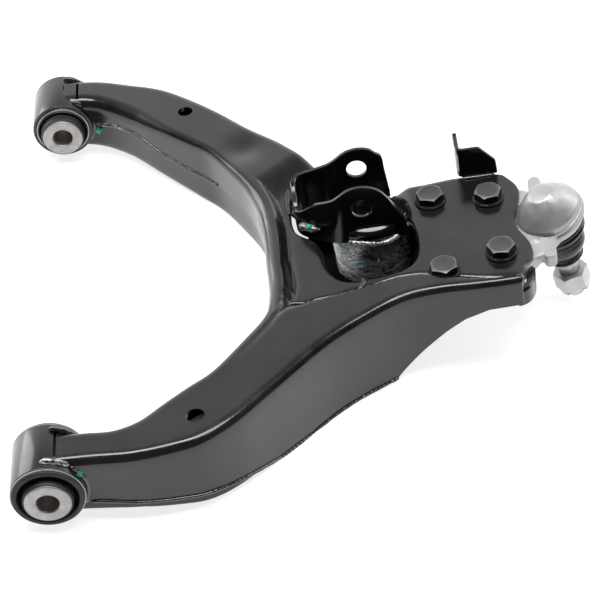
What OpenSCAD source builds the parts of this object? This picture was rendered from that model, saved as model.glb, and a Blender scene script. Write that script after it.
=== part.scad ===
// Lower control arm, right-hand: two pressed shells, two rubber bushes, a shock absorber clevis
// and a bolted-on ball joint.
// Frame: origin at the centre of the rear bush, +X outboard to the ball joint, +Y forward along the
// bush axis to the front bush, +Z up.

/* [Arm] */
// Distance between the centres of the two bushes
bush_span = 388; // [370:1:405]
// Distance from the bush axis to the outboard end of the plate
reach = 326; // [316:1:336]
// Thickness of the pressed sheet
sheet_t = 3.2; // [2.4:0.1:3.6]
// Height of the bolting plate above the bush axis
plate_z = 12; // [11:0.5:13]
// Depth of the belly below the bush axis
belly_z = 48; // [46:1:52]

/* [Bushes] */
// Bore of the steel inner sleeves
sleeve_bore_d = 14.5; // [12.5:0.1:16.5]
// Outside diameter of the steel inner sleeves
sleeve_d = 30; // [28:0.5:31]
// Length of the rear inner sleeve
rear_sleeve_l = 54; // [50:1:60]
// Length of the front inner sleeve
front_sleeve_l = 60; // [52:1:64]
// Outside diameter of the rear eye
rear_eye_d = 48; // [47:0.5:49]
// Outside diameter of the front eye
front_eye_d = 45; // [44:0.5:46]
// Length of both eyes
eye_l = 40; // [38:1:42]

/* [Shock absorber clevis] */
// Gap between the two ears
clevis_gap = 41.5; // [38:0.5:43]
// Diameter of the holes in the ears
clevis_hole_d = 14; // [10:0.5:16]
// Height of the holes above the bolting plate
clevis_hole_h = 21; // [20:0.5:24]
// Outside diameter of the cup under the ears
cup_d = 57; // [55:0.5:57]

/* [Ball joint] */
// Diameter of the ball
ball_d = 28; // [26:0.5:28]
// Diameter of the cover pressed on the housing
cover_d = 44; // [43:0.5:46]
// Tilt of the housing, top inboard
housing_tilt = 19; // [16:1:22]
// Lean of the housing, top rearward
housing_lean = 8; // [4:1:10]
// Tilt of the stud at rest, top inboard
stud_tilt = 11; // [8:1:14]
// Width across the flats of the castle nut
castle_nut_af = 22; // [21:0.5:24]

/* [Fasteners] */
// Thread diameter of the four bolts
bolt_d = 12; // [10:1:12]
// Width across the flats of the bolt heads and nuts
bolt_af = 17; // [16:0.5:18]

/* [Hidden] */
$fn = 96;

// clearances
press_gap = 0.05;      // between pieces that are pressed or laid together
running_gap = 0.08;    // radial, where a piece turns in another
weld_gap = 0.5;        // between the shells and the eyes
far = 300;             // longer than any cut needs to be

// plan curves of the arm, as points on its edges; x runs with reach, y with bush_span
function place(points) = [for (p = points) [p[0] * reach / 326, p[1] * bush_span / 388]];
rear_outer_edge = place([[-4, -14.5], [30, -16], [56, -17.5], [80, -14.5], [100, -9], [122, 6],
    [145, 29], [183, 67], [214, 89], [238, 101.5], [262, 105], [290, 104.5], [317, 104.5]]);
end_edge = place([[319, 117], [326, 128], [326, 146], [319.5, 164], [319, 176], [325, 195],
    [325, 210], [315, 227]]);
front_outer_edge = place([[281, 230.5], [258, 228], [236, 228.5], [218, 234], [203, 245],
    [189, 262], [165, 292], [141, 316], [122, 338], [100, 360], [79, 377], [55, 388], [30, 398],
    [-4, 403.5]]);
crotch_edge = place([[-4, 373], [20, 370.5], [36, 361.5], [52, 348], [68, 332], [94, 307],
    [112, 289], [128, 262], [138, 241], [144.5, 218], [147, 190], [147.5, 160], [148, 128],
    [143, 103], [130, 83], [109, 56], [91, 42], [75, 29], [60, 16.5], [44, 11], [28, 12],
    [-4, 14.5]]);
recess_edge = place([[160, 120], [226, 117], [262, 115], [286, 113.5], [300, 111], [345, 110],
    [345, 240], [232, 240], [196, 258], [166, 240], [157, 205]]);
pocket_edge = place([[167, 229.5], [167, 211], [169, 194], [174, 187], [182, 180], [186, 168],
    [188, 150], [194, 138], [204, 132], [231, 134], [244, 140], [250, 150], [251.5, 165],
    [251.5, 245], [222, 245], [222, 229.5]]);

// side profiles of the arm, as x and z
top_profile = [[-10, 22], [60, 21.5], [165, 18.8], [235, 17.8], [280, 16.4], [345, 16]];
belly_profile = [[-10, -22], [14, -24.5], [30, -26], [55, -28], [90, -36], [120, -43],
    [150, -belly_z], [226, -belly_z], [247, -33], [250, -5.6], [345, -5.6]];
// inside face of the same floor; its step up to the flat end is as thick as the sheet
floor_profile = concat([for (p = belly_profile) if (p[0] < 240) [p[0], p[1] + sheet_t]],
    [[243.6, -33 + sheet_t], [246.7, -5.6 + sheet_t], [345, -5.6 + sheet_t]]);
skirt_profile = [[-10, -13], [30, -16], [55, -19], [90, -28], [120, -36], [150, -43], [200, -46],
    [226, -belly_z], [262, -21], [276, -12], [292, -6.5], [345, -5]];
inner_seam_profile = [[-10, 3], [55, -1], [90, -9], [120, -15], [150, -20], [200, -24]];
// the lower shell laps inside the upper one above the seam; it has no sides under the plate
lap = 7;
step_x = 250;
upper_lip_w = 9;
lower_lip_w = 12;
// window for the forging in the outboard end, as x, y and length along y
end_window = [262, 110, 112];
// holes in the tops of the legs, as x, y and diameter
leg_holes = [[97, 13, 12], [96.5, 341, 11]];
lap_profile = concat([for (p = skirt_profile) if (p[0] < step_x - 10) [p[0], p[1] + lap]],
                     [[step_x, -22], [step_x + 0.1, far], [345, far]]);

// bushes
front_y = bush_span;
eye_wall = 2.5;
can_wall = 1.5;
rear_can_d = rear_eye_d - 2 * eye_wall;
front_can_d = front_eye_d - 2 * eye_wall;

// clevis
clevis_x = 216.5;
cup_x = 221.5;
ear_t = 3.5;
clevis_y = 204.25;
clevis_z = plate_z + clevis_hole_h;
cup_top_z = plate_z + 4;
cup_rim_z = 6;
cup_floor_z = -16;
bracket_base_z = 4;
web_end_x = 170;
drain_d = 5;

// ball joint, along the axis of the housing: w is the distance from the centre of the ball
ball_centre = [344.4, 177, 8.2];
cover_edge_w = 13;
crimp_w = 3.4;
ring_w = -1.2;
mouth_w = -8;
housing_r = 21;
chamber_r = 17.5;
seat_split_w = 0.3;
cover_h = 19.6;
collar_lip = 1.6;
// along the axis of the stud: v is the distance below the centre of the ball
neck_r = 6.5;
waist_v = 21.5;
boot_seat_v = 34;
boot_seat_r = 8.4;
nut_v = 51.5;
nut_h = 17;
stud_end_v = 71;
thread_r = 7;

// bolts, as x and y
bolt_places = [[264.5, 205], [304.2, 199], [266, 127.3], [305.7, 139.3]];
bolt_turns = [12, 38, 3, 22];
head_h = 8;
flange_top_z = plate_z - sheet_t;
flange_bottom_z = -2.4;
plate_bottom_z = flange_bottom_z - sheet_t;
washer_t = 2;
bolt_nut_h = 9;
bolt_room = 0.6;
bolt_point = 3;
washer_d = 20;
head_flange_h = 1.6;

// Catmull-Rom curve through the points, with steps to each span
function blend4(a, b, c, d, t) = 0.5 * ((2 * b) + (c - a) * t + (2 * a - 5 * b + 4 * c - d) * t * t
    + (3 * b - a - 3 * c + d) * t * t * t);
function curve(p, steps) = let (last = len(p) - 1)
    [for (i = [0:last]) for (s = [0:(i < last ? steps - 1 : 0)])
        i == last ? p[i] : blend4(p[max(i - 1, 0)], p[i], p[i + 1], p[min(i + 2, last)], s / steps)];
function unit(v) = v / norm(v);
// moves each point of a closed loop inwards by d, at the mitre of its two sides
function inset(loop, d) = let (n = len(loop)) [for (i = [0:n - 1])
    let (u = unit(loop[i] - loop[(i + n - 1) % n]), v = unit(loop[(i + 1) % n] - loop[i]),
         m = [-(u[1] + v[1]), u[0] + v[0]], k = m * [-u[1], u[0]])
    loop[i] + m * d / max(k, 0.6)];
// moves each point of an open path to its left by d
function beside(path, d) = let (last = len(path) - 1) [for (i = [0:last])
    let (u = unit(path[min(i + 1, last)] - path[max(i - 1, 0)])) path[i] + d * [-u[1], u[0]]];
function shift_up(profile, dz) = [for (p = profile) [p[0], p[1] + dz]];

outline = concat(curve(rear_outer_edge, 3), curve(end_edge, 3), curve(front_outer_edge, 3),
                 curve(crotch_edge, 3));

// the plan loop, extruded over the whole height
module plan(loop) {
    translate([0, 0, -far / 2])
        linear_extrude(far)
            polygon(loop);
}

// everything on one side of a side profile
module beyond(profile, side) {
    translate([0, bush_span + far, 0])
        rotate([90, 0, 0])
            linear_extrude(bush_span + 2 * far)
                polygon(concat(profile, [[profile[len(profile) - 1][0], side * far],
                                         [profile[0][0], side * far]]));
}

// room for the eyes, set off outboard by the weld gap
module eye_cuts() {
    translate([weld_gap, 0, 0])
        rotate([90, 0, 0])
            cylinder(h = far, d = rear_eye_d + 4 * weld_gap, center = true);
    translate([weld_gap, front_y, 0])
        rotate([90, 0, 0])
            cylinder(h = far, d = front_eye_d + 4 * weld_gap, center = true);
    translate([-far, -far, -far])
        cube([far, bush_span + 2 * far, 2 * far]);
}

module bolt_holes(d) {
    for (p = bolt_places)
        translate([p[0], p[1], -far / 2])
            cylinder(h = far, d = d);
}

module at_housing() {
    translate(ball_centre)
        rotate([housing_lean, -housing_tilt, 0])
            children();
}

module at_stud() {
    translate(ball_centre)
        rotate([0, -stud_tilt, 0])
            children();
}

module housing_room() {
    at_housing()
        translate([0, 0, mouth_w - 4])
            cylinder(h = cover_edge_w - mouth_w + 8, r = cover_d / 2 + collar_lip + 0.6);
}

// band along the inner edge of the arm, where the seam between the shells is higher
module crotch_band(width) {
    edge = curve(crotch_edge, 3);
    inner = beside(edge, width);
    plan(concat(beside(edge, -6), [for (i = [len(inner) - 1:-1:0]) inner[i]]));
}

module upper_shell() {
    color("#1c1d20")
    difference() {
        plan(outline);
        beyond(top_profile, 1);
        translate([0, 0, plate_z])
            linear_extrude(far)
                polygon(recess_edge);
        beyond(skirt_profile, -1);
        // inside of the pressing
        difference() {
            plan(inset(outline, sheet_t));
            beyond(shift_up(top_profile, -sheet_t), 1);
            translate([0, 0, plate_z - sheet_t])
                linear_extrude(far)
                    polygon(inset(recess_edge, sheet_t));
        }
        intersection() {
            crotch_band(upper_lip_w);
            beyond(inner_seam_profile, -1);
        }
        translate([0, 0, bracket_base_z])
            linear_extrude(far)
                polygon(pocket_edge);
        translate([cup_x, clevis_y, bracket_base_z])
            cylinder(h = far, d = cup_d + 2 * press_gap);
        // open end over the forging
        translate([end_window[0], end_window[1], flange_top_z - far])
            cube([far, end_window[2], far]);
        eye_cuts();
        housing_room();
        bolt_holes(bolt_d + bolt_room);
        for (hole = leg_holes)
            translate([hole[0], hole[1], 0])
                cylinder(h = far, d = hole[2]);
    }
}

module lower_shell() {
    skin = sheet_t + press_gap;
    color("#1c1d20")
    difference() {
        plan(inset(outline, skin));
        beyond(belly_profile, -1);
        difference() {
            beyond(lap_profile, 1);
            crotch_band(lower_lip_w);
        }
        intersection() {
            crotch_band(lower_lip_w);
            beyond(shift_up(inner_seam_profile, lap), 1);
        }
        difference() {
            plan(inset(outline, skin + sheet_t));
            beyond(floor_profile, -1);
        }
        // under the forging only the flat plate is left
        translate([step_x, 0, flange_bottom_z])
            cube([far, far, far]);
        eye_cuts();
        housing_room();
        bolt_holes(bolt_d + bolt_room);
    }
}

module eye(d) {
    rotate([90, 0, 0])
        difference() {
            cylinder(h = eye_l, d = d, center = true);
            cylinder(h = far, d = d - 2 * eye_wall, center = true);
        }
}

module rear_eye() {
    color("#1b1c1f")
        eye(rear_eye_d);
}

module front_eye() {
    color("#1b1c1f")
    translate([0, front_y, 0])
        eye(front_eye_d);
}

module can(d) {
    rotate([90, 0, 0])
        difference() {
            cylinder(h = eye_l, d = d - 2 * press_gap, center = true);
            cylinder(h = far, d = d - 2 * can_wall, center = true);
        }
}

module rear_bush_can() {
    color("#8c8d90")
        can(rear_can_d);
}

module front_bush_can() {
    color("#8c8d90")
    translate([0, front_y, 0])
        can(front_can_d);
}

// rubber turned about the bush axis; the flange laps over the end of the eye
module rubber(can_d, flange_d, lip) {
    outer_r = can_d / 2 - can_wall - press_gap;
    inner_r = sleeve_d / 2 + running_gap;
    half = eye_l / 2;
    groove_r = (outer_r + inner_r) / 2;
    // depth of the hollow in each end, at its middle and at the sleeve
    deep = 6;
    shallow = 4;
    edge = 0.5;
    rotate([90, 0, 0])
        rotate_extrude()
            polygon([[inner_r, shallow - half], [groove_r, deep - half], [outer_r - edge, -half],
                     [outer_r - edge, -half - lip], [flange_d / 2, -half - lip],
                     [flange_d / 2, -half - press_gap], [outer_r, -half - press_gap],
                     [outer_r, half + press_gap], [flange_d / 2, half + press_gap],
                     [flange_d / 2, half + lip], [outer_r - edge, half + lip],
                     [outer_r - edge, half], [groove_r, half - deep], [inner_r, half - shallow]]);
}

module rear_bush_rubber() {
    color("#17181a")
        rubber(rear_can_d, rear_eye_d - 1, 3);
}

module front_bush_rubber() {
    color("#17181a")
    translate([0, front_y, 0])
        rubber(front_can_d, front_can_d - 2, 2.5);
}

module sleeve(length) {
    rotate([90, 0, 0])
        difference() {
            cylinder(h = length, d = sleeve_d, center = true);
            cylinder(h = far, d = sleeve_bore_d, center = true);
        }
}

module rear_inner_sleeve() {
    color("#a9a6a3")
        sleeve(rear_sleeve_l);
}

module front_inner_sleeve() {
    color("#a9a6a3")
    translate([0, front_y, 0])
        sleeve(front_sleeve_l);
}

// upright sheet in the XZ plane, from y to y + ear_t
module ear_sheet(y, points) {
    translate([0, y + ear_t, 0])
        rotate([90, 0, 0])
            linear_extrude(ear_t)
                polygon(points);
}

// upright sheet standing on the line from a to b, with its top sloping from za to zb
module web(a, b, za, zb, bottom) {
    length = norm(b - a);
    translate([a[0], a[1], 0])
        rotate([0, 0, atan2(b[1] - a[1], b[0] - a[0])])
            rotate([90, 0, 0])
                linear_extrude(ear_t, center = true)
                    polygon([[0, bottom], [length, bottom], [length, zb], [0, za]]);
}

module ear_disc(y, r) {
    translate([clevis_x, y + ear_t, clevis_z])
        rotate([90, 0, 0])
            cylinder(h = ear_t, r = r);
}

module shock_bracket() {
    near_y = clevis_y - clevis_gap / 2 - ear_t;
    far_y = clevis_y + clevis_gap / 2;
    base_z = bracket_base_z;
    near_r = 17.5;
    far_r = 16.8;
    web_ends = [[171, 198], [198, near_y + ear_t / 2]];
    web_heights = [26, 40];
    end_h = 20;
    drain_x = cup_x + 2;
    drain_z = -9;
    color("#1c1d20")
    difference() {
        union() {
            // cup, held by the front side of the lower shell
            difference() {
                translate([cup_x, clevis_y, -belly_z])
                    cylinder(h = belly_z + cup_top_z, d = cup_d);
                translate([cup_x, clevis_y, cup_floor_z])
                    cylinder(h = far, d = cup_d - 2 * ear_t);
                translate([cup_x, clevis_y, cup_floor_z - sheet_t - far])
                    cylinder(h = far, d = cup_d - 2 * ear_t);
                difference() {
                    translate([cup_x - cup_d, clevis_y, bracket_base_z - far])
                        cube([2 * cup_d, far, far]);
                    plan(inset(outline, 2 * (sheet_t + press_gap)));
                }
            }
            // shoulders between the cup and the ears
            translate([0, 0, cup_top_z - ear_t])
                difference() {
                    translate([cup_x, clevis_y, 0])
                        cylinder(h = ear_t, d = cup_d);
                    translate([0, near_y, -1])
                        cube([far, clevis_gap + 2 * ear_t, far]);
                }
            // near ear and its slanting web
            ear_sheet(near_y, [[197, base_z], [246, base_z], [244.5, 20], [234, 39.5], [231, 43],
                               [204, 45.7], [197, 40]]);
            ear_disc(near_y, near_r);
            web(web_ends[0], web_ends[1], web_heights[0], web_heights[1], base_z);
            // far ear
            ear_sheet(far_y, [[170, base_z], [238, base_z], [235.5, 39], [231, 42.5],
                              [204, 45], [196, 39.5], [170, 35]]);
            ear_disc(far_y, far_r);
            // inboard end
            translate([web_end_x, web_ends[0][1] - 1, base_z])
                cube([ear_t, far_y + 2 - web_ends[0][1], end_h]);
        }
        translate([clevis_x, 0, clevis_z])
            rotate([-90, 0, 0])
                cylinder(h = far, d = clevis_hole_d);
        // gap of the clevis, above the rim of the cup
        translate([cup_x - cup_d / 2 - 1, near_y + ear_t, cup_rim_z])
            cube([far, clevis_gap, far]);
        translate([drain_x, 0, drain_z])
            rotate([-90, 0, 0])
                cylinder(h = clevis_y, d = drain_d);
        beyond(shift_up(floor_profile, press_gap), -1);
    }
}

module hose_bracket() {
    foot = [286, 228.5];
    width = 28.5;
    height = 24;
    thickness = 3;
    side_w = 18;
    slope = [1, 11];
    color("#1b1c1f")
    translate([foot[0], foot[1], plate_z + press_gap]) {
        rotate([90, 0, 0])
            linear_extrude(thickness)
                polygon([[0, 0], [width, 0], [width - slope[0], slope[1]],
                         [width - slope[1], height], [0, height]]);
        translate([0, -thickness, 0])
            cube([thickness, side_w, height]);
    }
}

// plan of the forged flange, with its corners rounded
module flange_plan() {
    corners = [[266, 124], [266, 202], [306, 208], [306, 128]];
    corner_r = 9;
    nose_r = 17;
    nose_x = ball_centre[0] - 6;
    hull() {
        for (p = corners)
            translate(p)
                circle(r = corner_r, $fn = 32);
        translate([nose_x, ball_centre[1]])
            circle(r = nose_r, $fn = 32);
    }
}

module ball_joint_housing() {
    lug_x = 338;
    lug_w = 9;
    lug_reach = 45;
    lug_z = flange_bottom_z + 1;
    lug_h = flange_top_z - flange_bottom_z - 2;
    collar_r = cover_d / 2 + collar_lip;
    mouth_lip = 2.5;
    mouth_r = 14.5;
    color("#c9cacb")
    difference() {
        union() {
            translate([0, 0, flange_bottom_z])
                linear_extrude(flange_top_z - press_gap - flange_bottom_z)
                    flange_plan();
            // lugs at the front and the rear
            translate([lug_x - lug_w / 2, ball_centre[1] - lug_reach + lug_w / 2, lug_z])
                cube([lug_w, 2 * lug_reach - lug_w, lug_h]);
            for (side = [-1, 1])
                translate([lug_x, ball_centre[1] + side * (lug_reach - lug_w / 2), lug_z])
                    cylinder(h = lug_h, d = lug_w);
            at_housing() {
                translate([0, 0, mouth_w])
                    cylinder(h = ring_w - mouth_w + 1, r1 = housing_r - 1.5, r2 = housing_r + 1);
                translate([0, 0, ring_w])
                    cylinder(h = crimp_w - ring_w, r = collar_r);
            }
        }
        at_housing() {
            // room for the seats and the ball
            translate([0, 0, mouth_w + mouth_lip])
                cylinder(h = far, r = chamber_r);
            translate([0, 0, crimp_w])
                cylinder(h = far, r = collar_r + 1);
            translate([0, 0, mouth_w - 0.1])
                cylinder(h = mouth_lip + 0.2, r1 = mouth_r, r2 = mouth_r - 1);
            // room for the boot under the mouth
            translate([0, 0, mouth_w - far])
                cylinder(h = far, r = housing_r + 1);
        }
        bolt_holes(bolt_d + bolt_room);
    }
}

module ball_joint_cover() {
    r = cover_d / 2;
    wall = 2.2;
    flat_r = 7.5;
    in_r = chamber_r + 1;
    color("#d2d3d4")
    at_housing()
        translate([0, 0, crimp_w + press_gap])
            rotate_extrude()
                polygon([[0, cover_h], [flat_r, cover_h], [flat_r + 1.6, cover_h - 0.8],
                         [r - 6, 12.4], [r - 2, 6], [r, 3.6], [r, 0], [in_r, 0],
                         [in_r, 4], [r - 7.4, 10.8], [flat_r, cover_h - wall - 1],
                         [0, cover_h - wall]]);
}

// seat for the ball, between two heights along the housing axis
module seat(low, high) {
    at_housing()
        difference() {
            translate([0, 0, low])
                cylinder(h = high - low, r = chamber_r - press_gap);
            sphere(r = ball_d / 2 + running_gap, $fn = 128);
            translate([0, 0, mouth_w - 1])
                cylinder(h = 8, r1 = 14.4, r2 = 9);
        }
}

module lower_bearing_seat() {
    color("#e4e0d2")
        seat(mouth_w + 2.55, seat_split_w - 0.2);
}

module upper_bearing_seat() {
    shoulder_w = 7;
    top_w = 11.5;
    color("#e4e0d2")
    intersection() {
        seat(seat_split_w, top_w);
        // the top is conical to fit under the cover
        at_housing()
            union() {
                cylinder(h = shoulder_w, r = chamber_r);
                translate([0, 0, shoulder_w])
                    cylinder(h = top_w - shoulder_w, r1 = chamber_r - press_gap, r2 = 12.6);
            }
    }
}

module preload_spring() {
    color("#7d8086")
    at_housing()
        translate([0, 0, 14.4])
            rotate_extrude()
                polygon([[9.4, 0], [10.4, 0], [6.2, 2.6], [5.2, 2.6]]);
}

module ball_stud() {
    ball_flat = 1.2;
    pin_d = 3;
    pin_v = nut_v + nut_h - pin_d;
    color("#b4b5b8")
    at_stud()
        difference() {
            union() {
                sphere(d = ball_d, $fn = 128);
                rotate([180, 0, 0])
                    rotate_extrude()
                        polygon([[0, 0], [neck_r, 0], [neck_r, 27], [boot_seat_r, 31],
                                 [boot_seat_r, 37], [8, 42], [thread_r + 0.2, 52],
                                 [thread_r - 0.4, 53],
                                 [thread_r - 0.4, stud_end_v - 1.5], [thread_r - 1.8, stud_end_v],
                                 [0, stud_end_v]]);
            }
            translate([0, 0, ball_d / 2 - ball_flat])
                cylinder(h = far, r = far);
            // hole for the split pin
            translate([0, 0, -pin_v])
                rotate([90, 0, 0])
                    cylinder(h = far, d = pin_d, center = true);
        }
}

module castle_nut() {
    slots = 6;
    slot_w = 4;
    slot_depth = 5;
    color("#cfd0d1")
    at_stud()
        rotate([180, 0, 0])
            translate([0, 0, nut_v])
                difference() {
                    intersection() {
                        cylinder(h = nut_h, d = castle_nut_af / cos(30), $fn = 6);
                        rotate_extrude()
                            polygon([[0, 0], [castle_nut_af / 2 - 0.3, 0],
                                     [castle_nut_af / 2 + 2, 1.4],
                                     [castle_nut_af / 2 + 2, nut_h - slot_depth - 1],
                                     [castle_nut_af / 2 - 1, nut_h - slot_depth + 1],
                                     [castle_nut_af / 2 - 1, nut_h], [0, nut_h]]);
                    }
                    translate([0, 0, -1])
                        cylinder(h = nut_h + 2, r = thread_r + 0.35);
                    for (i = [0:slots / 2 - 1])
                        rotate([0, 0, i * 360 / slots])
                            translate([-far, -slot_w / 2, nut_h - slot_depth])
                                cube([2 * far, slot_w, far]);
                }
}

module boot_clamp_ring() {
    color("#3a3b3e")
    at_housing()
        translate([0, 0, mouth_w - 2.3])
            rotate_extrude()
                translate([18.9, 0])
                    circle(d = 1.6, $fn = 24);
}

module boot_upper_fold() {
    color("#141517")
    at_housing()
        translate([0, 0, mouth_w - press_gap])
            rotate_extrude()
                polygon([[15.6, 0], [18.2, 0], [17.8, -2.4], [18.6, -6], [17.2, -9.6], [15, -9.6],
                         [16.4, -6], [15.6, -2.4]]);
}

// the middle of the boot, halfway between the two axes
module at_waist() {
    translate(ball_centre)
        rotate([housing_lean / 2, -(housing_tilt + stud_tilt) / 2, 0])
            children();
}

module boot_waist() {
    color("#141517")
    at_waist()
        translate([0, 0, -waist_v])
            rotate_extrude()
                polygon([[13.6, 1], [15.6, 1], [16.2, 0], [15.6, -1], [13.6, -1]]);
}

module boot_lower_fold() {
    color("#141517")
    at_stud()
        translate([0, 0, -waist_v])
            rotate_extrude()
                polygon([[13.2, -4], [14.6, -4], [14.8, -7.4], [12.8, -11.4], [11.2, -11.4],
                         [13, -7.4]]);
}

module boot_lip() {
    color("#141517")
    at_stud()
        rotate([180, 0, 0])
            rotate_extrude()
                polygon([[boot_seat_r + running_gap, boot_seat_v + 1], [9.4, boot_seat_v + 0.6],
                         [11.8, boot_seat_v + 0.7], [12.1, boot_seat_v + 3],
                         [11.4, boot_seat_v + 5.4], [8.6, boot_seat_v + 6],
                         [boot_seat_r + running_gap, boot_seat_v + 2.6]]);
}

module boot_lip_ring() {
    color("#3a3b3e")
    at_stud()
        translate([0, 0, -(boot_seat_v + 3)])
            rotate_extrude()
                translate([12.8, 0])
                    circle(d = 1.2, $fn = 24);
}

module flange_bolts() {
    head_flange_r = bolt_af / 2 + 2.4;
    shank_l = plate_z - plate_bottom_z + washer_t + bolt_nut_h + bolt_point;
    color("#4b4745")
    for (i = [0:3])
        translate([bolt_places[i][0], bolt_places[i][1], plate_z + press_gap])
            rotate([0, 0, bolt_turns[i]]) {
                cylinder(h = head_flange_h, r = head_flange_r);
                intersection() {
                    cylinder(h = head_h, d = bolt_af / cos(30), $fn = 6);
                    cylinder(h = head_h, r1 = bolt_af / 2 + 8, r2 = bolt_af / 2 - 0.1);
                }
                translate([0, 0, -shank_l])
                    cylinder(h = shank_l + head_flange_h / 2, d = bolt_d);
            }
}

module bolt_washers() {
    color("#5b5755")
    for (p = bolt_places)
        translate([p[0], p[1], plate_bottom_z - washer_t - press_gap])
            difference() {
                cylinder(h = washer_t, d = washer_d);
                translate([0, 0, -1])
                    cylinder(h = washer_t + 2, d = bolt_d + 0.4);
            }
}

module flange_nuts() {
    color("#4b4745")
    for (p = bolt_places)
        translate([p[0], p[1], plate_bottom_z - washer_t - bolt_nut_h - 2 * press_gap])
            difference() {
                cylinder(h = bolt_nut_h, d = bolt_af / cos(30), $fn = 6);
                translate([0, 0, -1])
                    cylinder(h = bolt_nut_h + 2, d = bolt_d + 0.1);
            }
}

upper_shell();
lower_shell();
rear_eye();
front_eye();
rear_bush_can();
front_bush_can();
rear_bush_rubber();
front_bush_rubber();
rear_inner_sleeve();
front_inner_sleeve();
shock_bracket();
hose_bracket();
ball_joint_housing();
ball_joint_cover();
upper_bearing_seat();
lower_bearing_seat();
preload_spring();
ball_stud();
castle_nut();
boot_clamp_ring();
boot_upper_fold();
boot_waist();
boot_lower_fold();
boot_lip();
boot_lip_ring();
flange_bolts();
bolt_washers();
flange_nuts();
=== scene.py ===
import bpy
import bmesh
import math
import random
import numpy as np
from mathutils import Vector, Matrix
from mathutils.geometry import delaunay_2d_cdt


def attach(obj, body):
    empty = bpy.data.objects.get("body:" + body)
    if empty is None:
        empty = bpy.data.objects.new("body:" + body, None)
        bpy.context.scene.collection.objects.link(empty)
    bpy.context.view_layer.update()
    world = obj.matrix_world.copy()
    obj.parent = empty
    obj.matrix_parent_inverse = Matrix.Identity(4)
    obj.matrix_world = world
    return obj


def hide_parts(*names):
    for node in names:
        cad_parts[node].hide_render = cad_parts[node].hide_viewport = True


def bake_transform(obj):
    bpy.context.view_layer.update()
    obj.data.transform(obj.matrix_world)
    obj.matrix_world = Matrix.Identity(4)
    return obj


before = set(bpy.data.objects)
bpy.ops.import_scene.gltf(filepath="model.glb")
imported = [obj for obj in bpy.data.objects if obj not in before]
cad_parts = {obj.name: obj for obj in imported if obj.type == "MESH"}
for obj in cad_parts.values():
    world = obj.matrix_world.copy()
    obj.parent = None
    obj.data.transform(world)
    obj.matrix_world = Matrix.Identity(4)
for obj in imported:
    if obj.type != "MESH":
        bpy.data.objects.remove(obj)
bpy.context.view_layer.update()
random.seed(7)
MM = 0.001

# ---------------------------------------------------------------- camera, floor and lights
scene = bpy.context.scene
camera_data = bpy.data.cameras.new("camera")
camera = bpy.data.objects.new("camera", camera_data)
scene.collection.objects.link(camera)
right, up, ahead = (0.9895, -0.0575, -0.1324), (0.1380, 0.6458, 0.7509), (-0.0423, 0.7614, -0.6470)
eye_point = (0.2304, -0.9962, 0.9602)
camera.matrix_world = Matrix([(right[i], up[i], -ahead[i], eye_point[i]) for i in range(3)] + [(0, 0, 0, 1)])
camera_data.lens = 132.31
camera_data.sensor_width = 36
camera_data.clip_start = 0.02
camera_data.clip_end = 50
scene.camera = camera


def new_material(name, color, roughness=0.4, metallic=0.0, specular=0.5, coat=0.0, coat_rough=0.1):
    m = bpy.data.materials.new(name)
    m.use_nodes = True
    b = m.node_tree.nodes["Principled BSDF"]
    b.inputs["Base Color"].default_value = (*color, 1)
    b.inputs["Roughness"].default_value = roughness
    b.inputs["Metallic"].default_value = metallic
    b.inputs["Specular IOR Level"].default_value = specular
    b.inputs["Coat Weight"].default_value = coat
    b.inputs["Coat Roughness"].default_value = coat_rough
    return m


class Nodes:
    """Short calls for building a material's node tree."""

    def __init__(self, material):
        self.tree = material.node_tree
        self.bsdf = self.tree.nodes["Principled BSDF"]
        self.where = self.tree.nodes.new("ShaderNodeTexCoord").outputs["Object"]

    def add(self, kind, inputs):
        n = self.tree.nodes.new(kind)
        for key, value in inputs.items():
            self.feed(n, key, value)
        return n

    def feed(self, node, key, value):
        if isinstance(value, bpy.types.NodeSocket):
            self.tree.links.new(value, node.inputs[key])
        else:
            node.inputs[key].default_value = value

    def noise(self, scale, detail=3, rough=0.55, stretch=None, distortion=0.0):
        where = self.where
        if stretch:
            where = self.add("ShaderNodeMapping", {"Vector": where, "Scale": stretch}).outputs["Vector"]
        return self.add("ShaderNodeTexNoise", {"Vector": where, "Scale": scale, "Detail": detail,
                        "Roughness": rough, "Distortion": distortion}).outputs["Fac"]

    def spread(self, value, low, high, a=0.35, b=0.65):
        return self.add("ShaderNodeMapRange", {"Value": value, "From Min": a, "From Max": b,
                        "To Min": low, "To Max": high}).outputs["Result"]

    def ramp(self, value, stops):
        n = self.tree.nodes.new("ShaderNodeValToRGB")
        self.tree.links.new(value, n.inputs["Fac"])
        while len(n.color_ramp.elements) < len(stops):
            n.color_ramp.elements.new(0.5)
        for element, (at, color) in zip(n.color_ramp.elements, stops):
            element.position = at
            element.color = (*color, 1)
        return n.outputs["Color"]

    def mix(self, fac, a, b):
        n = self.tree.nodes.new("ShaderNodeMix")
        n.data_type = "RGBA"
        for key, value in ((0, fac), (6, a), (7, b)):
            self.feed(n, key, (*value, 1) if isinstance(value, tuple) else value)
        return n.outputs[2]

    def bump(self, *layers):
        """layers: (height, distance in mm, strength)"""
        last = None
        for height, distance, strength in layers:
            n = self.add("ShaderNodeBump", {"Height": height, "Distance": distance * MM,
                                            "Strength": strength})
            if last:
                self.feed(n, "Normal", last)
            last = n.outputs["Normal"]
        self.set("Normal", last)

    def set(self, key, value):
        self.feed(self.bsdf, key, value)


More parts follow.
